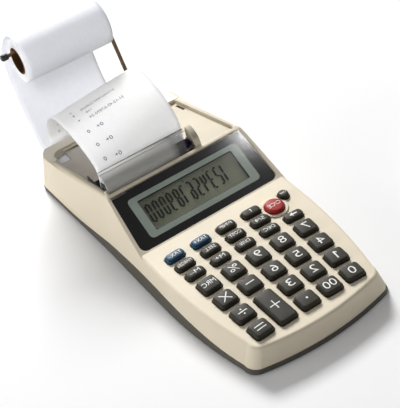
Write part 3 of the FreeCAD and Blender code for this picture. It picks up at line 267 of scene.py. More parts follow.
def shell_plastic(name, colour, bay_shade):
    """Shell plastic, smooth outside; the bay's deck and walls get a painted shade, a darker copy of
    the colour.
    """
    mat = moulded(name, colour, 0.5, 0.012, 0.10, 3000.0, 0.0008, 0.35)
    nodes, links = mat.node_tree.nodes, mat.node_tree.links
    axes = object_axes(nodes, links)
    side = maths(nodes, links, "ABSOLUTE", axes["X"])
    # The bay lies within 45 mm of X = 0 and behind Y = 28 mm.
    within = remap(nodes, links, side, (0.0455, 0.0445))
    behind = remap(nodes, links, axes["Y"], (0.0272, 0.0282))
    bay_shade_mask = maths(nodes, links, "MULTIPLY", within, behind)
    # Painted shade: over the bay's deck and walls the colour is swapped for a darker, mottled copy
    # of itself.
    speck = noise(nodes, links, 55.0, 4.0)
    painted_bay_shade = mottle(nodes, links, speck, colour, bay_shade * 0.97, bay_shade * 1.03)
    second_colour(nodes, links, bay_shade_mask, painted_bay_shade)
    return mat


# The 0.70 is the share of the cream kept in the bay's painted shade.
CREAM = shell_plastic("shell cream plastic", lin(241, 229, 204), 0.70)
REAR_CREAM = moulded("rear cover plastic", lin(240, 231, 211), 0.5, 0.015, 0.10, 3000.0, 0.0008,
                     0.35)
DARK_SHELL = moulded("lower shell plastic", lin(86, 82, 73), 0.55, 0.05, 0.2, 2200.0, 0.0005, 0.3)
KEY_DARK = moulded("key dark plastic", lin(46, 42, 31), 0.5, 0.05, 0.22, 2600.0, 0.0, 0.25)
KEY_BLUE = moulded("key blue plastic", lin(18, 68, 100), 0.45, 0.05, 0.2, 2600.0, 0.0, 0.3)
KEY_RED = moulded("key red plastic", lin(168, 28, 24), 0.5, 0.05, 0.18, 2600.0, 0.0, 0.3)
# White of the key legends, and also of the painted highlight along the lens's upper left edge.
PRINT_AND_HIGHLIGHT_WHITE = moulded("legend print and painted highlight", lin(238, 238, 230), 0.5, 0.02, 0.05)
PANEL_BLACK = moulded("display surround print", lin(5, 4, 2), 0.5, 0.05, 0.02, 1500.0, 0.0, 0.08)
FRAME_GREEN = moulded("display frame print", lin(188, 202, 190), 0.55, 0.03, 0.03, 1800.0, 0.0, 0.1)
LCD_BACK = moulded("panel reflector", lin(204, 207, 184), 0.6, 0.05, 0.12, 4200.0, 0.0, 0.1)
LCD_INK = moulded("panel segments", lin(8, 8, 7), 0.5, 0.02, 0.0, gloss=0.08)
LENS_CLEAR = clear_plastic("display lens", lin(253, 253, 253), 0.1, 1.0, 0.01)
LCD_GLASS = clear_plastic("panel glass", lin(252, 253, 250), 0.12, 0.1, 0.0)
SMOKE = milky_plastic("smoked window", lin(236, 236, 234), lin(240, 240, 236), 0.62)
TEAR_EDGE = moulded("tear edge", lin(104, 98, 88), 0.5, 0.05, 0.1, 1500.0, 0.0, 0.3)
PAPER = paper_material("paper", lin(252, 252, 252), 0.3)
PAPER_BACK = paper_material("paper web", lin(247, 248, 252), 0.26)
ROLL_EDGE = paper_material("roll paper", lin(250, 250, 251), 0.0, 0.016)
PRINT_INK = moulded("receipt print", lin(84, 86, 132), 0.7, 0.25, 0.0)
PRINT_FAINT = moulded("header print", lin(158, 160, 178), 0.7, 0.25, 0.0)
PRINT_PALE = moulded("print showing through", lin(168, 168, 176), 0.7, 0.05, 0.0)
CARD = moulded("core board", lin(104, 72, 44), 0.85, 0.18, 0.5, 900.0, 0.0, 0.1)
WIRE = metal("arm wire", lin(104, 86, 68), 0.28, (40, 2, 2))
FRAME_PLASTIC = frame_plastic("printer frame plastic", lin(48, 46, 44), lin(214, 206, 196))
BLACK_CAP = moulded("cap plastic", lin(26, 25, 24), 0.4, 0.05, 0.15, 2600.0, 0.0003, 0.5)
MECH = moulded("mechanism plastic", lin(44, 42, 40), 0.5, 0.08, 0.2, 1600.0, 0.0002, 0.4)
RUBBER = moulded("roller rubber", lin(30, 29, 28), 0.8, 0.12, 0.4, 1200.0, 0.0, 0.2)
FELT = moulded("ink felt", lin(36, 28, 62), 0.95, 0.2, 0.9, 1500.0, 0.0, 0.1)
GEAR = moulded("gear nylon", lin(214, 210, 198), 0.5, 0.03, 0.15, 2000.0, 0.0001, 0.4)
STEEL = metal("steel", lin(168, 166, 160), 0.32, (40, 2, 2), 0.0002)
BRASS = metal("brass", lin(196, 160, 92), 0.3, (2, 40, 40), 0.0001)
CELL = metal("cell sleeve", lin(170, 172, 176), 0.35, (30, 1, 30), 0.0004)
FOOT = moulded("foot rubber", lin(34, 33, 32), 0.85, 0.1, 0.5, 1400.0, 0.0003, 0.2)
BOARD = moulded("circuit board", lin(24, 74, 46), 0.4, 0.12, 0.25, 700.0, 0.0, 0.5)
MAT = moulded("keypad rubber", lin(120, 118, 112), 0.8, 0.06, 0.3, 1500.0, 0.0003, 0.2)

for node, material in {
    "top_case": CREAM, "rear_cover": REAR_CREAM, "bottom_case": DARK_SHELL,
    "battery_door": DARK_SHELL, "lcd_panel": LCD_BACK, "keypad_mat": MAT, "main_board": BOARD,
    "printer_frame": FRAME_PLASTIC, "print_motor": STEEL, "battery_cells": CELL,
    "case_screws": STEEL, "rubber_feet": FOOT, "dc_jack": BLACK_CAP, "tear_window": SMOKE,
    "paper_arm": WIRE, "arm_cap": BLACK_CAP, "type_drum": MECH, "platen_roller": RUBBER,
    "platen_gear": GEAR, "ink_roller": FELT, "motor_pinion": BRASS,
}.items():
    data = NODES[node].data
    data.materials.clear()
    data.materials.append(material)


# ---------------------------------------------------------------- mesh helpers

def link(thing):
    bpy.context.scene.collection.objects.link(thing)
    return thing


def piece(name, verts, faces, material, body, replaces=(), smooth=True, place=None):
    """A mesh from millimetre points, placed and riding on a body."""
    data = bpy.data.meshes.new(name)
    points = [Vector(v) * MM for v in verts]
    if place is not None:
        points = [place @ p for p in points]
    data.from_pydata(points, [], faces)
    data.update()
    for face in data.polygons:
        face.use_smooth = smooth
    data.materials.append(material)
    thing = link(bpy.data.objects.new(name, data))
    if replaces:
        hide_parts(*replaces)
    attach(thing, body)
    return thing


def ring_faces(rings, count):
    """Faces of a body of closed rings with a cap at each end."""
    faces = []
    for r in range(rings - 1):
        for i in range(count):
            j = (i + 1) % count
            low, high = r * count, (r + 1) * count
            faces.append((low + i, low + j, high + j, high + i))
    faces.append(tuple(reversed(range(count))))
    faces.append(tuple((rings - 1) * count + i for i in range(count)))
    return faces


def rounded_outline(width, depth, corner, steps=7, runs=4):
    """Points round a centred rectangle with round corners, counter-clockwise."""
    w, d = width / 2, depth / 2
    r = min(corner, w - 0.01, d - 0.01)
    points = []

    def on_arc(cx, cy, degrees):
        angle = math.radians(degrees)
        return cx + r * math.cos(angle), cy + r * math.sin(angle)

    centres = [(w - r, -d + r, -90), (w - r, d - r, 0), (-w + r, d - r, 90), (-w + r, -d + r, 180)]
    for index, (cx, cy, start) in enumerate(centres):
        for s in range(steps + 1):
            points.append(on_arc(cx, cy, start + 90.0 * s / steps))
        x0, y0 = points[-1]
        x1, y1 = on_arc(*centres[(index + 1) % 4])
        for s in range(1, runs):
            f = s / runs
            points.append((x0 + (x1 - x0) * f, y0 + (y1 - y0) * f))
    return points


# ---------------------------------------------------------------- sizes of the part, in mm

FRONT, REAR = -111.25, 119.25
TILT = math.radians(4.0)
HOME_Y = FRONT + 58.3
FOOT_Y = FRONT + 3.2
FRONT_HEIGHT = 14.3


def keypad_z(y):
    return FRONT_HEIGHT + (y - FOOT_Y) * math.tan(TILT)


DISPLAY_LOW = Vector((0, FRONT + 101.0, keypad_z(FRONT + 101.0)))
DISPLAY_TOP = Vector((0, FRONT + 134.5, 40.2))
LEAN = math.atan2(DISPLAY_TOP.z - DISPLAY_LOW.z, DISPLAY_TOP.y - DISPLAY_LOW.y)
SLOPE = (DISPLAY_TOP - DISPLAY_LOW).length
CREST_Z, RIM_REAR_Z = 40.9, 26.8
CREST = Vector((0, DISPLAY_TOP.y + 2.6, CREST_Z))
RIM_REAR = Vector((0, FRONT + 205.5, RIM_REAR_Z))
WINDOW_Y, TEAR_Z = FRONT + 147.3, 49.1
PAPER_L, PAPER_R = -41.8, 15.2
PIVOT_Y = FRONT + 193.5
RIM_FALL = (RIM_REAR_Z - CREST_Z) / (RIM_REAR.y - CREST.y)
DECK_DROP, PIVOT_RISE = 2.4, 1.7
PIVOT_Z = CREST.z + (PIVOT_Y - CREST.y) * RIM_FALL - DECK_DROP + PIVOT_RISE
ROD = Vector((0, PIVOT_Y + 32.0, PIVOT_Z + 66.2))
ROLL = Vector((0, ROD.y, ROD.z - 6.04))
ROLL_R, CORE_R = 13.6, 8.4
SLOT_Z, PLATEN_Y, AXIS_Z = 19.4, FRONT + 156.1, 31.0
FLOOR_Z = -1.2


def keypad_matrix(x, along, turn):
    """Place on the keypad's slope: across it, up it from the home row, and turned by degrees."""
    y, z = HOME_Y + along * math.cos(TILT), keypad_z(HOME_Y) + along * math.sin(TILT)
    tilted = Matrix.Translation(Vector((x, y, z)) * MM) @ Matrix.Rotation(TILT, 4, "X")
    return tilted @ Matrix.Rotation(math.radians(turn), 4, "Z")


LENS = Matrix.Translation(DISPLAY_LOW * MM) @ Matrix.Rotation(LEAN, 4, "X")


# ---------------------------------------------------------------- keys and their legends

# Rows of keys with their place up the slope, and columns that fan out towards the back.
ROW_STEP, COLUMN_STEP, FAN, MIDDLE_X = 13.87, 16.13, 1.73, -0.7
ROWS = [("small", 29.8), ("small", 20.85), ("small", 11.9), ("square", 0.0),
        ("square", -ROW_STEP), ("square", -2 * ROW_STEP), ("square", -3 * ROW_STEP)]
LAYOUT = [
    ["key_tax_minus", "key_tax_plus", "key_print", "key_paper_feed", None],
    ["key_margin", "key_sell", "key_cost", "key_round", None],
    ["key_memory_minus", "key_memory_plus", "key_date_number", "key_decimals", "key_shift"],
    ["key_memory_recall", "key_percent", "key_9", "key_8", "key_7"],
    ["key_multiply", "key_minus", "key_6", "key_5", "key_4"],
    ["key_divide", None, "key_3", "key_2", "key_1"],
    ["key_equals", "key_plus", "key_point", "key_double_zero", "key_0"],
]
# Width, depth, corner radius, rise above the keypad and swell of the top.
SHAPES = {
    "small": (11.9, 6.3, 2.6, 2.5, 0.42), "square": (11.7, 10.4, 2.2, 2.9, 0.42),
    "double": (11.7, 24.27, 2.2, 2.9, 0.42), "clear": (11.6, 11.6, 5.75, 2.9, 0.5),
    "off": (6.9, 6.9, 3.4, 2.5, 0.4),
}
TOP_DROP = 0.25
EDGE_ROUND = 1.15
EDGE_STEPS, TOP_STEPS = 6, 5
DRAFT = math.tan(math.radians(9.0))


def crown(shape, x, y):
    """Height of a key's pillow-like top above the keypad at a place on it."""
    width, depth, _, rise, swell = SHAPES[shape]
    u = max(-1.0, min(1.0, 2 * x / width))
    v = max(-1.0, min(1.0, 2 * y / depth))
    if shape in ("clear", "off"):
        r = min(1.0, math.hypot(u, v))
        return rise - TOP_DROP + swell * (1 - r * r)
    return rise - TOP_DROP + swell * (1 - u ** 2) * (1 - v ** (4 if shape == "double" else 2))


def cap_mesh(name, node, shape, place, material):
    """Key cap with a drafted skirt, a soft rolled edge and a crowned top."""
    width, depth, corner, rise, _ = SHAPES[shape]
    verts = []
    rings = 0

    def add(inset, level=None, lift=0.0):
        nonlocal rings
        width_here, depth_here = width - 2 * inset, depth - 2 * inset
        for x, y in rounded_outline(width_here, depth_here, max(0.35, corner - inset * 0.8)):
            verts.append((x, y, crown(shape, x, y) + lift if level is None else level))
        rings += 1

    add(0.0, level=-3.0)
    add(0.0, level=-0.1)
    lean = (rise - TOP_DROP - EDGE_ROUND) * DRAFT
    add(lean, lift=-EDGE_ROUND)
    for step in range(1, EDGE_STEPS + 1):
        angle = math.radians(90.0 * step / EDGE_STEPS)
        inset = lean + EDGE_ROUND * (1 - math.cos(angle))
        add(inset, lift=EDGE_ROUND * (math.sin(angle) - 1))
    reach = lean + EDGE_ROUND
    inner = min(width, depth) / 2 - reach - 0.25
    for step in range(1, TOP_STEPS + 1):
        add(reach + inner * step / TOP_STEPS)
    faces = ring_faces(rings, len(verts) // rings)
    piece(name, verts, faces, material, node, (node,), place=place)


# Outlines of the signs, each a list of closed outlines in millimetres.

def bar(x, y, w, h):
    w, h = w / 2, h / 2
    return [[(x - w, y - h), (x + w, y - h), (x + w, y + h), (x - w, y + h)]]


def dot(x, y, r, count=16):
    angles = [2 * math.pi * i / count for i in range(count)]
    return [[(x + r * math.cos(a), y + r * math.sin(a)) for a in angles]]


def stroke(x0, y0, x1, y1, w):
    length = math.hypot(x1 - x0, y1 - y0)
    nx, ny = -(y1 - y0) / length * w / 2, (x1 - x0) / length * w / 2
    return [[(x0 - nx, y0 - ny), (x1 - nx, y1 - ny), (x1 + nx, y1 + ny), (x0 + nx, y0 + ny)]]


LINE = 0.62
CAPITAL = 0.73  # height of a capital in the built-in font, as a share of its size
SIGNS = {
    "one": bar(0.3, 0, 0.85, 5.3) + stroke(-1.15, 1.3, 0.2, 2.35, 0.8),
    "minus": bar(0, 0, 5.6, LINE),
    "plus": bar(0, 0, 6.4, LINE) + bar(0, 1.75, LINE, 2.9) + bar(0, -1.75, LINE, 2.9),
    "times": (stroke(-2.6, -2.6, 2.6, 2.6, LINE) + stroke(-2.6, 2.6, -0.22, 0.22, LINE)
              + stroke(0.22, -0.22, 2.6, -2.6, LINE)),
    "divide": bar(0, 0, 5.6, LINE) + dot(0, 1.75, 0.5) + dot(0, -1.75, 0.5),
    "equals": bar(0, 1.15, 6.0, LINE) + bar(0, -1.15, 6.0, LINE),
    "point": dot(0, 0, 0.65),
    "arrow": bar(-1.0, 0, 2.8, 0.85) + [[(0.3, -1.4), (2.5, 0.0), (0.3, 1.4)]],
    "feed": bar(0.0, -0.35, 0.48, 1.7) + [[(-0.7, 0.45), (0.7, 0.45), (0.0, 1.35)]],
}


def glyph_mesh(name, text, height, width, bold):
    """Flat mesh of a word, mirrored as it is on the object, centred, in millimetres."""
    bm = bmesh.new()
    if text in SIGNS:
        for outline in SIGNS[text]:
            bm.faces.new([bm.verts.new((x, y, 0)) for x, y in outline])
    else:
        curve = bpy.data.curves.new(name + "_text", "FONT")
        curve.body = text
        curve.size = height / CAPITAL
        curve.align_x = "CENTER"
        curve.align_y = "CENTER"
        curve.offset = bold
        curve.resolution_u = 4
        holder = bpy.data.objects.new(name + "_text", curve)
        data = bpy.data.meshes.new_from_object(holder)
        bm.from_mesh(data)
        bpy.data.objects.remove(holder)
        bpy.data.meshes.remove(data)
        bpy.data.curves.remove(curve)
        xs = [v.co.x for v in bm.verts]
        ys = [v.co.y for v in bm.verts]
        shift = Vector(((min(xs) + max(xs)) / 2, (min(ys) + max(ys)) / 2, 0))
        stretch = width / (max(xs) - min(xs)) if width else 1.0
        for v in bm.verts:
            v.co -= shift
            v.co.x *= stretch
    for v in bm.verts:
        v.co.x = -v.co.x
        v.co.z = 0
    return bm


def split_grid(bm, step):
    """Cut flat faces so that no piece is larger than a step and can follow a curved top."""
    spans = []
    for axis in (0, 1):
        values = [v.co[axis] for v in bm.verts]
        spans.append((axis, min(values), max(values)))
    for axis, low, high in spans:
        place = math.ceil(low / step) * step
        while place < high:
            origin, normal = [0, 0, 0], [0, 0, 0]
            origin[axis], normal[axis] = place, 1
            geometry = bm.verts[:] + bm.edges[:] + bm.faces[:]
            bmesh.ops.bisect_plane(bm, geom=geometry, dist=1e-6, plane_co=origin, plane_no=normal)
            place += step


def finish_print(bm, name, surface, body, material, lift=0.035):
    """Lay flat lettering onto a surface given as a function of plan position."""
    bmesh.ops.recalc_face_normals(bm, faces=bm.faces)
    for v in bm.verts:
        point, normal = surface(v.co.x, v.co.y)
        v.co = point + normal * lift * MM
    bm.normal_update()
    data = bpy.data.meshes.new(name)
    bm.to_mesh(data)
    bm.free()
    data.materials.append(material)
    thing = link(bpy.data.objects.new(name, data))
    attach(thing, body)


def face_up(bm):
    for face in bm.faces:
        face.normal_update()
        if face.normal.z < 0:
            face.normal_flip()


def key_surface(shape, place):
    def surface(x, y):
        point = place @ (Vector((x, y, crown(shape, x, y))) * MM)
        return point, (place.to_3x3() @ Vector((0, 0, 1)))
    return surface


# Legend or sign, and its capitals' height and width in millimetres. A long dash is a minus sign.
WORDS = {
    "key_tax_minus": ("TAX\u2013", 2.5, 8.6), "key_tax_plus": ("TAX+", 2.5, 8.4),
    "key_print": ("P/NP", 2.3, 7.4), "key_paper_feed": ("feed", 0, 0),
    "key_margin": ("MARGIN", 2.4, 8.9), "key_sell": ("SELL", 2.3, 6.6),
    "key_cost": ("COST", 2.4, 7.6), "key_round": ("5/4", 2.5, 6.0),
    "key_memory_minus": ("M\u2013", 2.6, 6.4), "key_memory_plus": ("M+", 2.6, 6.0),
    "key_date_number": ("D/#", 2.4, 6.4), "key_decimals": ("DEC", 2.4, 7.0),
    "key_shift": ("arrow", 0, 0), "key_memory_recall": ("MRC", 3.2, 8.4),
    "key_percent": ("%", 5.2, 5.9), "key_9": ("9", 5.4, 3.9), "key_8": ("8", 5.4, 3.9),
    "key_7": ("7", 5.4, 3.9), "key_multiply": ("times", 0, 0), "key_minus": ("minus", 0, 0),
    "key_6": ("6", 5.4, 3.9), "key_5": ("5", 5.4, 3.9), "key_4": ("4", 5.4, 4.2),
    "key_divide": ("divide", 0, 0), "key_3": ("3", 5.4, 3.9), "key_2": ("2", 5.4, 3.9),
    "key_1": ("one", 0, 0), "key_equals": ("equals", 0, 0), "key_plus": ("plus", 0, 0),
    "key_point": ("point", 0, 0), "key_double_zero": ("00", 5.2, 7.6), "key_0": ("0", 5.4, 3.9),
    "key_clear": ("C/CE", 2.8, 8.0), "key_off": ("OFF", 1.5, 4.0),
}

places = []
for row, (kind, along) in enumerate(ROWS):
    for column, node in enumerate(LAYOUT[row]):
        if node is None:
            continue
        spot, shape = along, kind
        if node == "key_plus":
            spot, shape = along + ROW_STEP / 2, "double"
        spread = math.tan(math.radians(FAN)) * spot
        x = MIDDLE_X + (column - 2) * (COLUMN_STEP + spread)
        places.append((node, shape, x, spot, -(column - 2) * FAN))
places.append(("key_clear", "clear", 29.0, 24.7, 0.0))
places.append(("key_off", "off", 38.6, 29.3, 0.0))

for node, shape, x, along, turn in places:
    place = keypad_matrix(x, along, turn)
    material, slot = KEY_DARK, "key_dark"
    if node.startswith("key_tax"):
        material, slot = KEY_BLUE, "key_blue"
    elif node == "key_clear":
        material, slot = KEY_RED, "key_red"
    cap_mesh(node + "_cap", node, shape, place, material)
    text, height, wide = WORDS[node]
    bm = glyph_mesh(node + "_legend", text, height, wide, -0.02 if height > 4 else 0.0)
    split_grid(bm, 0.6)
    face_up(bm)
    finish_print(bm, node + "_legend", key_surface(shape, place), node, PRINT_AND_HIGHLIGHT_WHITE)


# ---------------------------------------------------------------- display

def lens_outline(grow, steps=8):
    """The lens's trapezoid with rounded lower corners, counter-clockwise from the lower right."""
    low_w, top_w = 46.6 + grow, 44.1 + grow
    bottom, top = 0.9 - grow, SLOPE - 0.5 + grow
    r, lean = 4.0, 3.8
    points = []

    def corner(cx, cy, a0, a1, radius, count):
        for s in range(count + 1):
            a = math.radians(a0 + (a1 - a0) * s / count)
            points.append((cx + radius * math.cos(a), cy + radius * math.sin(a)))

    corner(low_w - r - 0.25, bottom + r, -90, lean, r, steps)
    corner(top_w - 0.5, top - 0.5, lean, 90, 0.5, 3)
    corner(-top_w + 0.5, top - 0.5, 90, 180 - lean, 0.5, 3)
    corner(-low_w + r + 0.25, bottom + r, 180 - lean, 270, r, steps)
    return points


def plate(name, outline, low, high, material, round_edge=0.0, replaces=()):
    """A flat plate on the lens's slope from an outline, with a small rounded upper edge."""
    count = len(outline)
    rings = [(0.0, low)]
    if round_edge:
        for s in range(5):
            a = math.radians(90 * s / 4)
            lift = round_edge * math.sin(a)
            rings.append((round_edge * (1 - math.cos(a)), high - round_edge + lift))
    else:
        rings.append((0.0, high))
    cx = sum(p[0] for p in outline) / count
    cy = sum(p[1] for p in outline) / count
    hx = max(p[0] for p in outline) - cx
    hy = max(p[1] for p in outline) - cy
    verts = []
    for inset, z in rings:
        fx, fy = 1 - inset / hx, 1 - inset / hy
        verts += [(cx + (x - cx) * fx, cy + (y - cy) * fy, z) for x, y in outline]
    faces = ring_faces(len(rings), count)
    piece(name, verts, faces, material, "case", replaces, smooth=False, place=LENS)


def framed_plate(name, outer, inner, low, high, material):
    """A plate with a window: both outlines have the same number of points."""
    count = len(outer)
    rings = ((outer, low), (outer, high), (inner, high), (inner, low))
    verts = [(x, y, z) for outline, z in rings for x, y in outline]
    faces = []
    for r in range(4):
        s = (r + 1) % 4
        for i in range(count):
            j = (i + 1) % count
            faces.append((r * count + i, r * count + j, s * count + j, s * count + i))
    piece(name, verts, faces, material, "case", smooth=False, place=LENS)


def resample(outline, count):
    """Points spread evenly by angle round an outline's middle."""
    xs, ys = zip(*outline)
    cx, cy = (min(xs) + max(xs)) / 2, (min(ys) + max(ys)) / 2
    result = []
    n = len(outline)
    for k in range(count):
        a = 2 * math.pi * k / count
        dx, dy = math.cos(a), math.sin(a)
        best = None
        for i in range(n):
            x0, y0 = outline[i][0] - cx, outline[i][1] - cy
            x1, y1 = outline[(i + 1) % n][0] - cx, outline[(i + 1) % n][1] - cy
            ex, ey = x1 - x0, y1 - y0
            det = dx * (-ey) + dy * ex
            if abs(det) < 1e-12:
                continue
            t = (x0 * (-ey) + y0 * ex) / det
            s = (dx * y0 - dy * x0) / det
            if t > 0 and -1e-6 <= s <= 1 + 1e-6:
                best = t if best is None else min(best, t)
        result.append((cx + dx * best, cy + dy * best))
    return result


def shifted(outline, dx, dy):
    return [(x + dx, y + dy) for x, y in outline]


LCD_X, LCD_Y, LCD_W, LCD_D = 0.3, 19.35, 64.2, 19.9


def lcd_outline(grow, corner):
    """The panel's opening, larger by a margin on both sides together."""
    outline = rounded_outline(LCD_W + grow, LCD_D + grow, corner, 4, 12)
    return shifted(outline, LCD_X, LCD_Y)


# Layers of the display, by their height over the lens's face.
GLASS_BACK, PRINT_BACK, WELL_FLOOR, FIGURES = -1.25, -1.27, -3.5, -2.95
AROUND = 160
FRAME_IN = lcd_outline(0.2, 0.7)
FRAME_OUT = shifted(rounded_outline(75.0, 26.6, 2.6, 4, 12), 0.4, 19.2)
plate("display_glass", lens_outline(0.0), GLASS_BACK, 0.0, LENS_CLEAR, 0.3,
      ("display_lens",))
framed_plate("display_surround", resample(lens_outline(-0.15), AROUND),
             resample(lcd_outline(0.0, 0.6), AROUND), -1.6, -1.3, PANEL_BLACK)
framed_plate("display_frame_print", FRAME_OUT, FRAME_IN, -1.31, PRINT_BACK, FRAME_GREEN)
framed_plate("display_well", lcd_outline(0.7, 0.8), FRAME_IN, WELL_FLOOR, -1.58, PANEL_BLACK)
plate("lcd_cover_glass", lcd_outline(0.1, 0.4), WELL_FLOOR, -2.65, LCD_GLASS)

# Seven-segment figures, slanted, with thousands marks; the layout is mirrored as on the object.
SEGMENTS = {
    "0": "abcdef", "1": "bc", "2": "abged", "3": "abgcd", "4": "fgbc", "5": "afgcd", "6": "afgedc",
    "7": "abc", "8": "abcdefg", "9": "abcdfg",
}
DIGIT_W, DIGIT_H, BAR_W = 3.35, 12.2, 1.12
SLANT = -0.04


def segment_outline(letter):
    """Outline of one bar of a figure; a to f run clockwise from the top, g is the middle one."""
    w, h, t = DIGIT_W / 2, DIGIT_H / 2, BAR_W
    g = 0.12
    level = {"a": h - t / 2, "g": 0.0, "d": -h + t / 2}
    if letter in level:
        y = level[letter]
        return [(-w + t / 2 + g, y), (-w + t + g, y + t / 2), (w - t - g, y + t / 2),
                (w - t / 2 - g, y), (w - t - g, y - t / 2), (-w + t + g, y - t / 2)]
    x = w - t / 2 if letter in "bc" else -w + t / 2
    low, high = (0.0, h - t / 2) if letter in "bf" else (-h + t / 2, 0.0)
    return [(x, low + g), (x + t / 2, low + t / 2 + g), (x + t / 2, high - t / 2 - g),
            (x, high - g), (x - t / 2, high - t / 2 - g), (x - t / 2, low + t / 2 + g)]


def print_and_highlight_on_lens(name, outlines, depth, material):
    """Flat marks parallel to the lens's face: print, and a painted highlight."""
    bm = bmesh.new()
    for outline in outlines:
        bm.faces.new([bm.verts.new((x, y, 0)) for x, y in outline])
    face_up(bm)
    normal = LENS.to_3x3() @ Vector((0, 0, 1))
    finish_print(bm, name, lambda x, y: (LENS @ (Vector((x, y, depth)) * MM), normal),
                 "case", material, 0.0)


FIRST_X, LAST_X, DIGIT_Y = 22.6, -28.4, 20.0
shown = "123456789000"
figures = []
for index, figure in enumerate(shown):
    x = FIRST_X + (LAST_X - FIRST_X) * index / (len(shown) - 1)
    outlines = [segment_outline(letter) for letter in SEGMENTS[figure]]
    if index in (2, 5, 8):
        outlines += bar(DIGIT_W / 2 + 0.05, DIGIT_H / 2 + 1.15, 0.42, 1.0)
    for outline in outlines:
        figures.append([(-(px + SLANT * py) + x, py + DIGIT_Y) for px, py in outline])
print_and_highlight_on_lens("lcd_figures", figures, FIGURES, LCD_INK)

# Painted highlight: a thin white line along the lens's upper left edge, laid at the print layer's
# depth.
lens_highlight_face = [(-44.1, 37.0), (-34.0, 37.25), (-34.0, 37.45), (-44.1, 37.3)]
print_and_highlight_on_lens("lens_edge_painted_highlight", [lens_highlight_face], PRINT_BACK, PRINT_AND_HIGHLIGHT_WHITE)


# ---------------------------------------------------------------- paper

FINE = 24  # points worked out between two given ones


def smooth_path(points, samples):
    """Even points along a smooth curve through the given ones, and the curve's length."""
    pts = [Vector((0, y, z)) for y, z in points]
    pts = [pts[0] * 2 - pts[1]] + pts + [pts[-1] * 2 - pts[-2]]
    dense = []
    for i in range(1, len(pts) - 2):
        p0, p1, p2, p3 = pts[i - 1:i + 3]
        t0 = 0.0
        t1 = t0 + (p1 - p0).length ** 0.5
        t2 = t1 + (p2 - p1).length ** 0.5
        t3 = t2 + (p3 - p2).length ** 0.5
        for s in range(FINE):
            t = t1 + (t2 - t1) * s / FINE
            a1 = p0 * ((t1 - t) / (t1 - t0)) + p1 * ((t - t0) / (t1 - t0))
            a2 = p1 * ((t2 - t) / (t2 - t1)) + p2 * ((t - t1) / (t2 - t1))
            a3 = p2 * ((t3 - t) / (t3 - t2)) + p3 * ((t - t2) / (t3 - t2))
            b1 = a1 * ((t2 - t) / (t2 - t0)) + a2 * ((t - t0) / (t2 - t0))
            b2 = a2 * ((t3 - t) / (t3 - t1)) + a3 * ((t - t1) / (t3 - t1))
            dense.append(b1 * ((t2 - t) / (t2 - t1)) + b2 * ((t - t1) / (t2 - t1)))
    dense.append(pts[-2])
    lengths = [0.0]
    for a, b in zip(dense, dense[1:]):
        lengths.append(lengths[-1] + (b - a).length)
    result = []
    j = 0
    for k in range(samples + 1):
        goal = lengths[-1] * k / samples
        while j < len(lengths) - 2 and lengths[j + 1] < goal:
            j += 1
        span = lengths[j + 1] - lengths[j]
        f = 0.0 if span == 0 else (goal - lengths[j]) / span
        result.append(dense[j].lerp(dense[j + 1], f))
    return result, lengths[-1]


class Sheet:
    """Ruled sheet of paper between a left and a right profile."""

    def __init__(self, left, right, samples):
        self.left, self.left_length = smooth_path(left, samples)
        self.right, self.right_length = smooth_path(right, samples)
        self.samples = samples

    def at(self, share, x):
        """Point at a share of the way along the sheet and a place across it."""
        share = max(0.0, min(0.99999, share)) * self.samples
        i = int(share)
        f = share - i
        a = self.left[i].lerp(self.left[i + 1], f)
        b = self.right[i].lerp(self.right[i + 1], f)
        v = (x - PAPER_L) / (PAPER_R - PAPER_L)
        point = a.lerp(b, v)
        point.x = x
        return point

    def frame_at(self, share, x):
        """Point on the sheet and the sheet's normal there."""
        d = 0.004
        along = (self.at(share + d, x) - self.at(share - d, x)).normalized()
        across = (self.at(share, x + 1) - self.at(share, x - 1)).normalized()
        return self.at(share, x), across.cross(along).normalized()

    def build(self, name, material, replaces, columns, thickness=0.11):
        verts, faces = [], []
        for r in range(self.samples + 1):
            for c in range(columns + 1):
                x = PAPER_L + (PAPER_R - PAPER_L) * c / columns
                verts.append(self.at(r / self.samples, x))
        for r in range(self.samples):
            for c in range(columns):
                low = r * (columns + 1) + c
                high = low + columns + 1
                faces.append((low, low + 1, high + 1, high))
        data = bpy.data.meshes.new(name)
        data.from_pydata([v * MM for v in verts], [], faces)
        data.update()
        for face in data.polygons:
            face.use_smooth = True
        data.materials.append(material)
        thing = link(bpy.data.objects.new(name, data))
        skin = thing.modifiers.new("thickness", "SOLIDIFY")
        skin.thickness = thickness * MM
        skin.offset = 0.0
        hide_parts(replaces)
        return thing


EXIT = (WINDOW_Y + 1.3, TEAR_Z - 3.0)
LEFT_EDGE = [EXIT] + [(WINDOW_Y + a, TEAR_Z + b) for a, b in (
    (3.0, 1.6), (9.0, 5.9), (21.0, 10.9), (35.0, 13.9), (48.0, 13.4), (57.0, 7.5), (63.5, -2.5),
    (65.5, -10.5), (64.0, -14.0))]
RIGHT_EDGE = [EXIT] + [(WINDOW_Y + a, TEAR_Z + b) for a, b in (
    (2.7, 3.0), (7.5, 10.0), (18.0, 17.4), (32.0, 22.2), (45.0, 22.0), (54.5, 16.0), (60.5, 6.0),
    (62.5, -4.0), (62.0, -11.0))]
strip = Sheet(LEFT_EDGE, RIGHT_EDGE, 120)
strip_piece = strip.build("printed_strip", PAPER, "printed_paper", 24)
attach(strip_piece, "case")


def around_roll(angle, gap):
    a = math.radians(angle)
    return ROLL.y + (ROLL_R + gap) * math.cos(a), ROLL.z + (ROLL_R + gap) * math.sin(a)


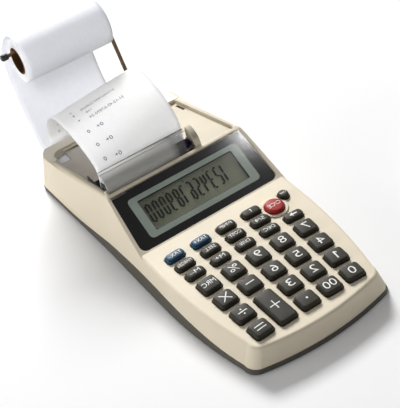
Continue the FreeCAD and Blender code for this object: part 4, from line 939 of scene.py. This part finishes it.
def web_edge(slack):
    """Side profile of the web: round the roll, down behind it and through to the tear edge."""
    points = [around_roll(angle, 0.15 + slack * (240 - angle) / 180)
              for angle in (240, 210, 180, 150, 120, 90, 60)]
    points += [(ROLL.y + a, ROLL.z + b)
               for a, b in ((24.5, -5.5), (24.5, -24.0), (18.0, -43.4), (9.8, -56.5))]
    points += [(REAR - 0.8, SLOT_Z + 3.0), (REAR - 3.8, SLOT_Z + 0.7), (REAR - 9.0, SLOT_Z + 0.1),
               (RIM_REAR.y - 8.0, SLOT_Z)]
    points += [(PLATEN_Y + a, AXIS_Z + b)
               for a, b in ((13.0, -11.5), (5.0, -8.6), (-3.6, -5.6), (-6.2, 0.6), (-7.0, 8.5))]
    return points + [(WINDOW_Y + 1.3, TEAR_Z - 3.2)]


web = Sheet(web_edge(1.9), web_edge(1.0), 240)
web_piece = web.build("roll_web", PAPER_BACK, "paper_web", 20)
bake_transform(web_piece)


def print_on_strip(name, share, x, text, height, width, material, lift):
    """A printed word on the strip; its lines run across the paper."""
    bm = glyph_mesh(name, text, height, width, 0.02)
    split_grid(bm, 1.5)
    length = (strip.left_length + strip.right_length) / 2

    def surface(px, py):
        point, normal = strip.frame_at(share + py / length, x + px)
        return point * MM, normal

    face_up(bm)
    finish_print(bm, name, surface, "case", material, lift)


# Generic figures only: share of the way along the strip, place across it, text, height and width.
PRINTED = [
    (0.083, -33.8, "0", 2.6, 1.7), (0.073, -25.6, "0+", 2.6, 4.2), (0.190, -32.8, "0", 2.5, 1.7),
    (0.190, -25.2, "0+", 2.6, 4.2), (0.307, -32.3, "0", 2.4, 1.6), (0.307, -24.8, "0+", 2.5, 4.2),
    (0.423, -32.3, "+", 2.0, 1.7),
]
PRINTED_FAINT = [
    (0.483, -32.8, "1", 1.7, 0.8), (0.527, -32.8, "2", 1.6, 1.3),
    (0.400, -14.9, "31-12-45-67890-24", 2.2, 23.0),
    (0.497, -15.8, "0123456789012345678", 1.5, 23.0), (0.452, -24.2, "128", 1.5, 3.6),
]
# Figures on the outer face that show through; without a width they keep the font's own.
PRINTED_BEHIND = [(0.873, -34.3, "+", 2.0, 0.0), (0.940, -33.8, "0", 2.0, 0.0),
                  (0.79, -30.0, "75", 2.0, 0.0), (0.97, -29.0, "12", 2.0, 0.0)]
for index, row in enumerate(PRINTED + PRINTED_FAINT):
    ink = PRINT_INK if index < len(PRINTED) else PRINT_FAINT
    print_on_strip("print_%02d" % index, *row, ink, 0.09)
for index, row in enumerate(PRINTED_BEHIND):
    print_on_strip("print_back_%02d" % index, *row, PRINT_PALE, -0.09)


def lathe_x(name, profile, material, replaces, count):
    """Turned piece round the roll's axis from closed (x, radius) points."""
    verts, faces = [], []
    n = len(profile)
    for k in range(count):
        a = 2 * math.pi * k / count
        verts += [(x, ROLL.y + r * math.cos(a), ROLL.z + r * math.sin(a)) for x, r in profile]
    for k in range(count):
        m = (k + 1) % count
        for i in range(n):
            j = (i + 1) % n
            faces.append((k * n + i, k * n + j, m * n + j, m * n + i))
    return piece(name, verts, faces, material, "roll", replaces, smooth=False)


# The roll's ends show its wound layers as small steps; the core is a wound card tube.
LAYERS = 26
LAYER = (ROLL_R - CORE_R) / LAYERS
profile = []
for i in range(LAYERS + 1):
    r = CORE_R + (ROLL_R - CORE_R) * i / LAYERS
    step = random.uniform(-0.10, 0.10)
    profile.append((PAPER_R + step, r))
    if i < LAYERS:
        profile.append((PAPER_R + step, r + LAYER * 0.8))
for i in range(LAYERS, -1, -1):
    r = CORE_R + (ROLL_R - CORE_R) * i / LAYERS
    step = random.uniform(-0.12, 0.12)
    if i < LAYERS:
        profile.append((PAPER_L + step, r + LAYER * 0.8))
    profile.append((PAPER_L + step, r))
roll_piece = lathe_x("roll_layers", profile, ROLL_EDGE, ("paper_roll",), 128)
core_profile = [
    (PAPER_R + 0.1, 7.5), (PAPER_R + 0.1, 8.2), (PAPER_R - 0.1, 8.38), (PAPER_L + 0.1, 8.38),
    (PAPER_L - 0.2, 8.2), (PAPER_L - 0.2, 7.5), (PAPER_L, 7.3), (PAPER_R, 7.3)]
lathe_x("roll_core", core_profile, CARD, ("paper_core",), 96)


# ---------------------------------------------------------------- tear edge

verts, faces = [], []
TEETH = 96
TEAR_L, TEAR_R = -42.4, PAPER_R
for k in range(TEETH + 1):
    x = TEAR_L + (TEAR_R - TEAR_L) * k / TEETH
    tip = 0.62 if k % 2 else 0.40
    verts += [(x, WINDOW_Y + a, TEAR_Z + b) for a, b in (
        (0.1, -0.02), (0.2, 0.12), (tip, 0.14), (tip, -0.1), (0.2, -0.25))]
for k in range(TEETH):
    for i in range(5):
        a, b = k * 5 + i, k * 5 + (i + 1) % 5
        faces.append((a, b, b + 5, a + 5))
piece("tear_teeth", verts, faces, TEAR_EDGE, "window", smooth=False)


# ---------------------------------------------------------------- stage, light and camera

def brightest(nodes, links, *sources):
    """The largest of several values."""
    peak = sources[0]
    for source in sources[1:]:
        peak = maths(nodes, links, "MAXIMUM", peak, source)
    return peak


def stage_floor(reach=3.0):
    """Pale floor, a little brighter to the camera and in reflections."""
    z = FLOOR_Z * MM
    data = bpy.data.meshes.new("floor")
    corners = [(-reach, -reach, z), (reach, -reach, z), (reach, reach, z), (-reach, reach, z)]
    data.from_pydata(corners, [], [(0, 1, 2, 3)])
    floor = link(bpy.data.objects.new("floor", data))
    mat, nodes, links, bsdf = new_material("floor")
    bsdf.inputs["Base Color"].default_value = (0.88, 0.88, 0.885, 1)
    bsdf.inputs["Roughness"].default_value = 0.8
    bsdf.inputs["Specular IOR Level"].default_value = 0.1
    glow = nodes.new("ShaderNodeEmission")
    glow.inputs["Color"].default_value = (1, 1, 1, 1)
    path = nodes.new("ShaderNodeLightPath").outputs
    peak = brightest(nodes, links, path["Is Camera Ray"], path["Is Glossy Ray"])
    links.new(maths(nodes, links, "MULTIPLY", peak, 0.10), glow.inputs["Strength"])
    both = nodes.new("ShaderNodeAddShader")
    links.new(bsdf.outputs["BSDF"], both.inputs[0])
    links.new(glow.outputs["Emission"], both.inputs[1])
    links.new(both.outputs["Shader"], nodes["Material Output"].inputs["Surface"])
    data.materials.append(mat)


def studio_world():
    """Dim even fill for the object; white for the camera and, near the horizon, in reflections."""
    world = bpy.data.worlds.new("studio")
    bpy.context.scene.world = world
    world.use_nodes = True
    nodes, links = world.node_tree.nodes, world.node_tree.links
    path = nodes.new("ShaderNodeLightPath").outputs
    height = object_axes(nodes, links, "Generated")["Z"]
    horizon = remap(nodes, links, height, (0.20, 0.55), (1.0, 0.0), "SMOOTHSTEP")
    seen = maths(nodes, links, "MULTIPLY", path["Is Glossy Ray"], horizon)
    white = brightest(nodes, links, path["Is Camera Ray"], path["Is Transmission Ray"], seen)
    mix = nodes.new("ShaderNodeMix")
    mix.data_type = "RGBA"
    mix.inputs[6].default_value = (0.19, 0.19, 0.192, 1)
    mix.inputs[7].default_value = (1, 1, 1, 1)
    links.new(white, mix.inputs[0])
    links.new(mix.outputs[2], nodes["Background"].inputs["Color"])


stage_floor()
studio_world()


def area_light(name, place, target, size, power):
    data = bpy.data.lights.new(name, "AREA")
    data.shape = "RECTANGLE"
    data.size, data.size_y = size
    data.energy = power
    lamp = link(bpy.data.objects.new(name, data))
    lamp.location = place
    lamp.rotation_euler = (Vector(target) - Vector(place)).to_track_quat("-Z", "Y").to_euler()
    return lamp


area_light("back_softbox", (0.42, 1.48, 1.26), (0.0, 0.0, 0.02), (0.66, 0.5), 46.0)
area_light("left_softbox", (-1.12, 0.22, 0.36), (0.0, 0.0, 0.02), (0.7, 0.4), 5.0)
glow_card = area_light("lens_reflection_card", (0.398, -0.022, 0.70), (0.398, -0.022, 0.0),
                       (0.124, 0.165), 2.0)
glow_card.visible_diffuse = False
# A soft card that lights the white paper alone.
paper_card = area_light("paper_card", (-0.62, -0.75, 0.95), (-0.01, 0.09, 0.07), (0.5, 0.5), 10.0)
paper_only = bpy.data.collections.new("paper_pieces")
for lit in (strip_piece, web_piece, roll_piece):
    paper_only.objects.link(lit)
paper_card.light_linking.receiver_collection = paper_only

camera_data = bpy.data.cameras.new("camera")
camera_data.lens = 102.38
camera_data.sensor_width = 36.0
camera_data.clip_start = 0.01
camera_data.clip_end = 20.0
camera = link(bpy.data.objects.new("camera", camera_data))
right = Vector((0.8166, -0.5556, -0.1566))
up = Vector((0.4582, 0.4588, 0.7614))
back = Vector((-0.3511, -0.6934, 0.6292))
eye = Vector((-0.2305, -0.45175, 0.4341))
rows = [(right[k], up[k], back[k], eye[k]) for k in range(3)]
camera.matrix_world = Matrix(rows + [(0, 0, 0, 1)])
bpy.context.scene.camera = camera
bpy.context.scene.view_settings.view_transform = "Standard"
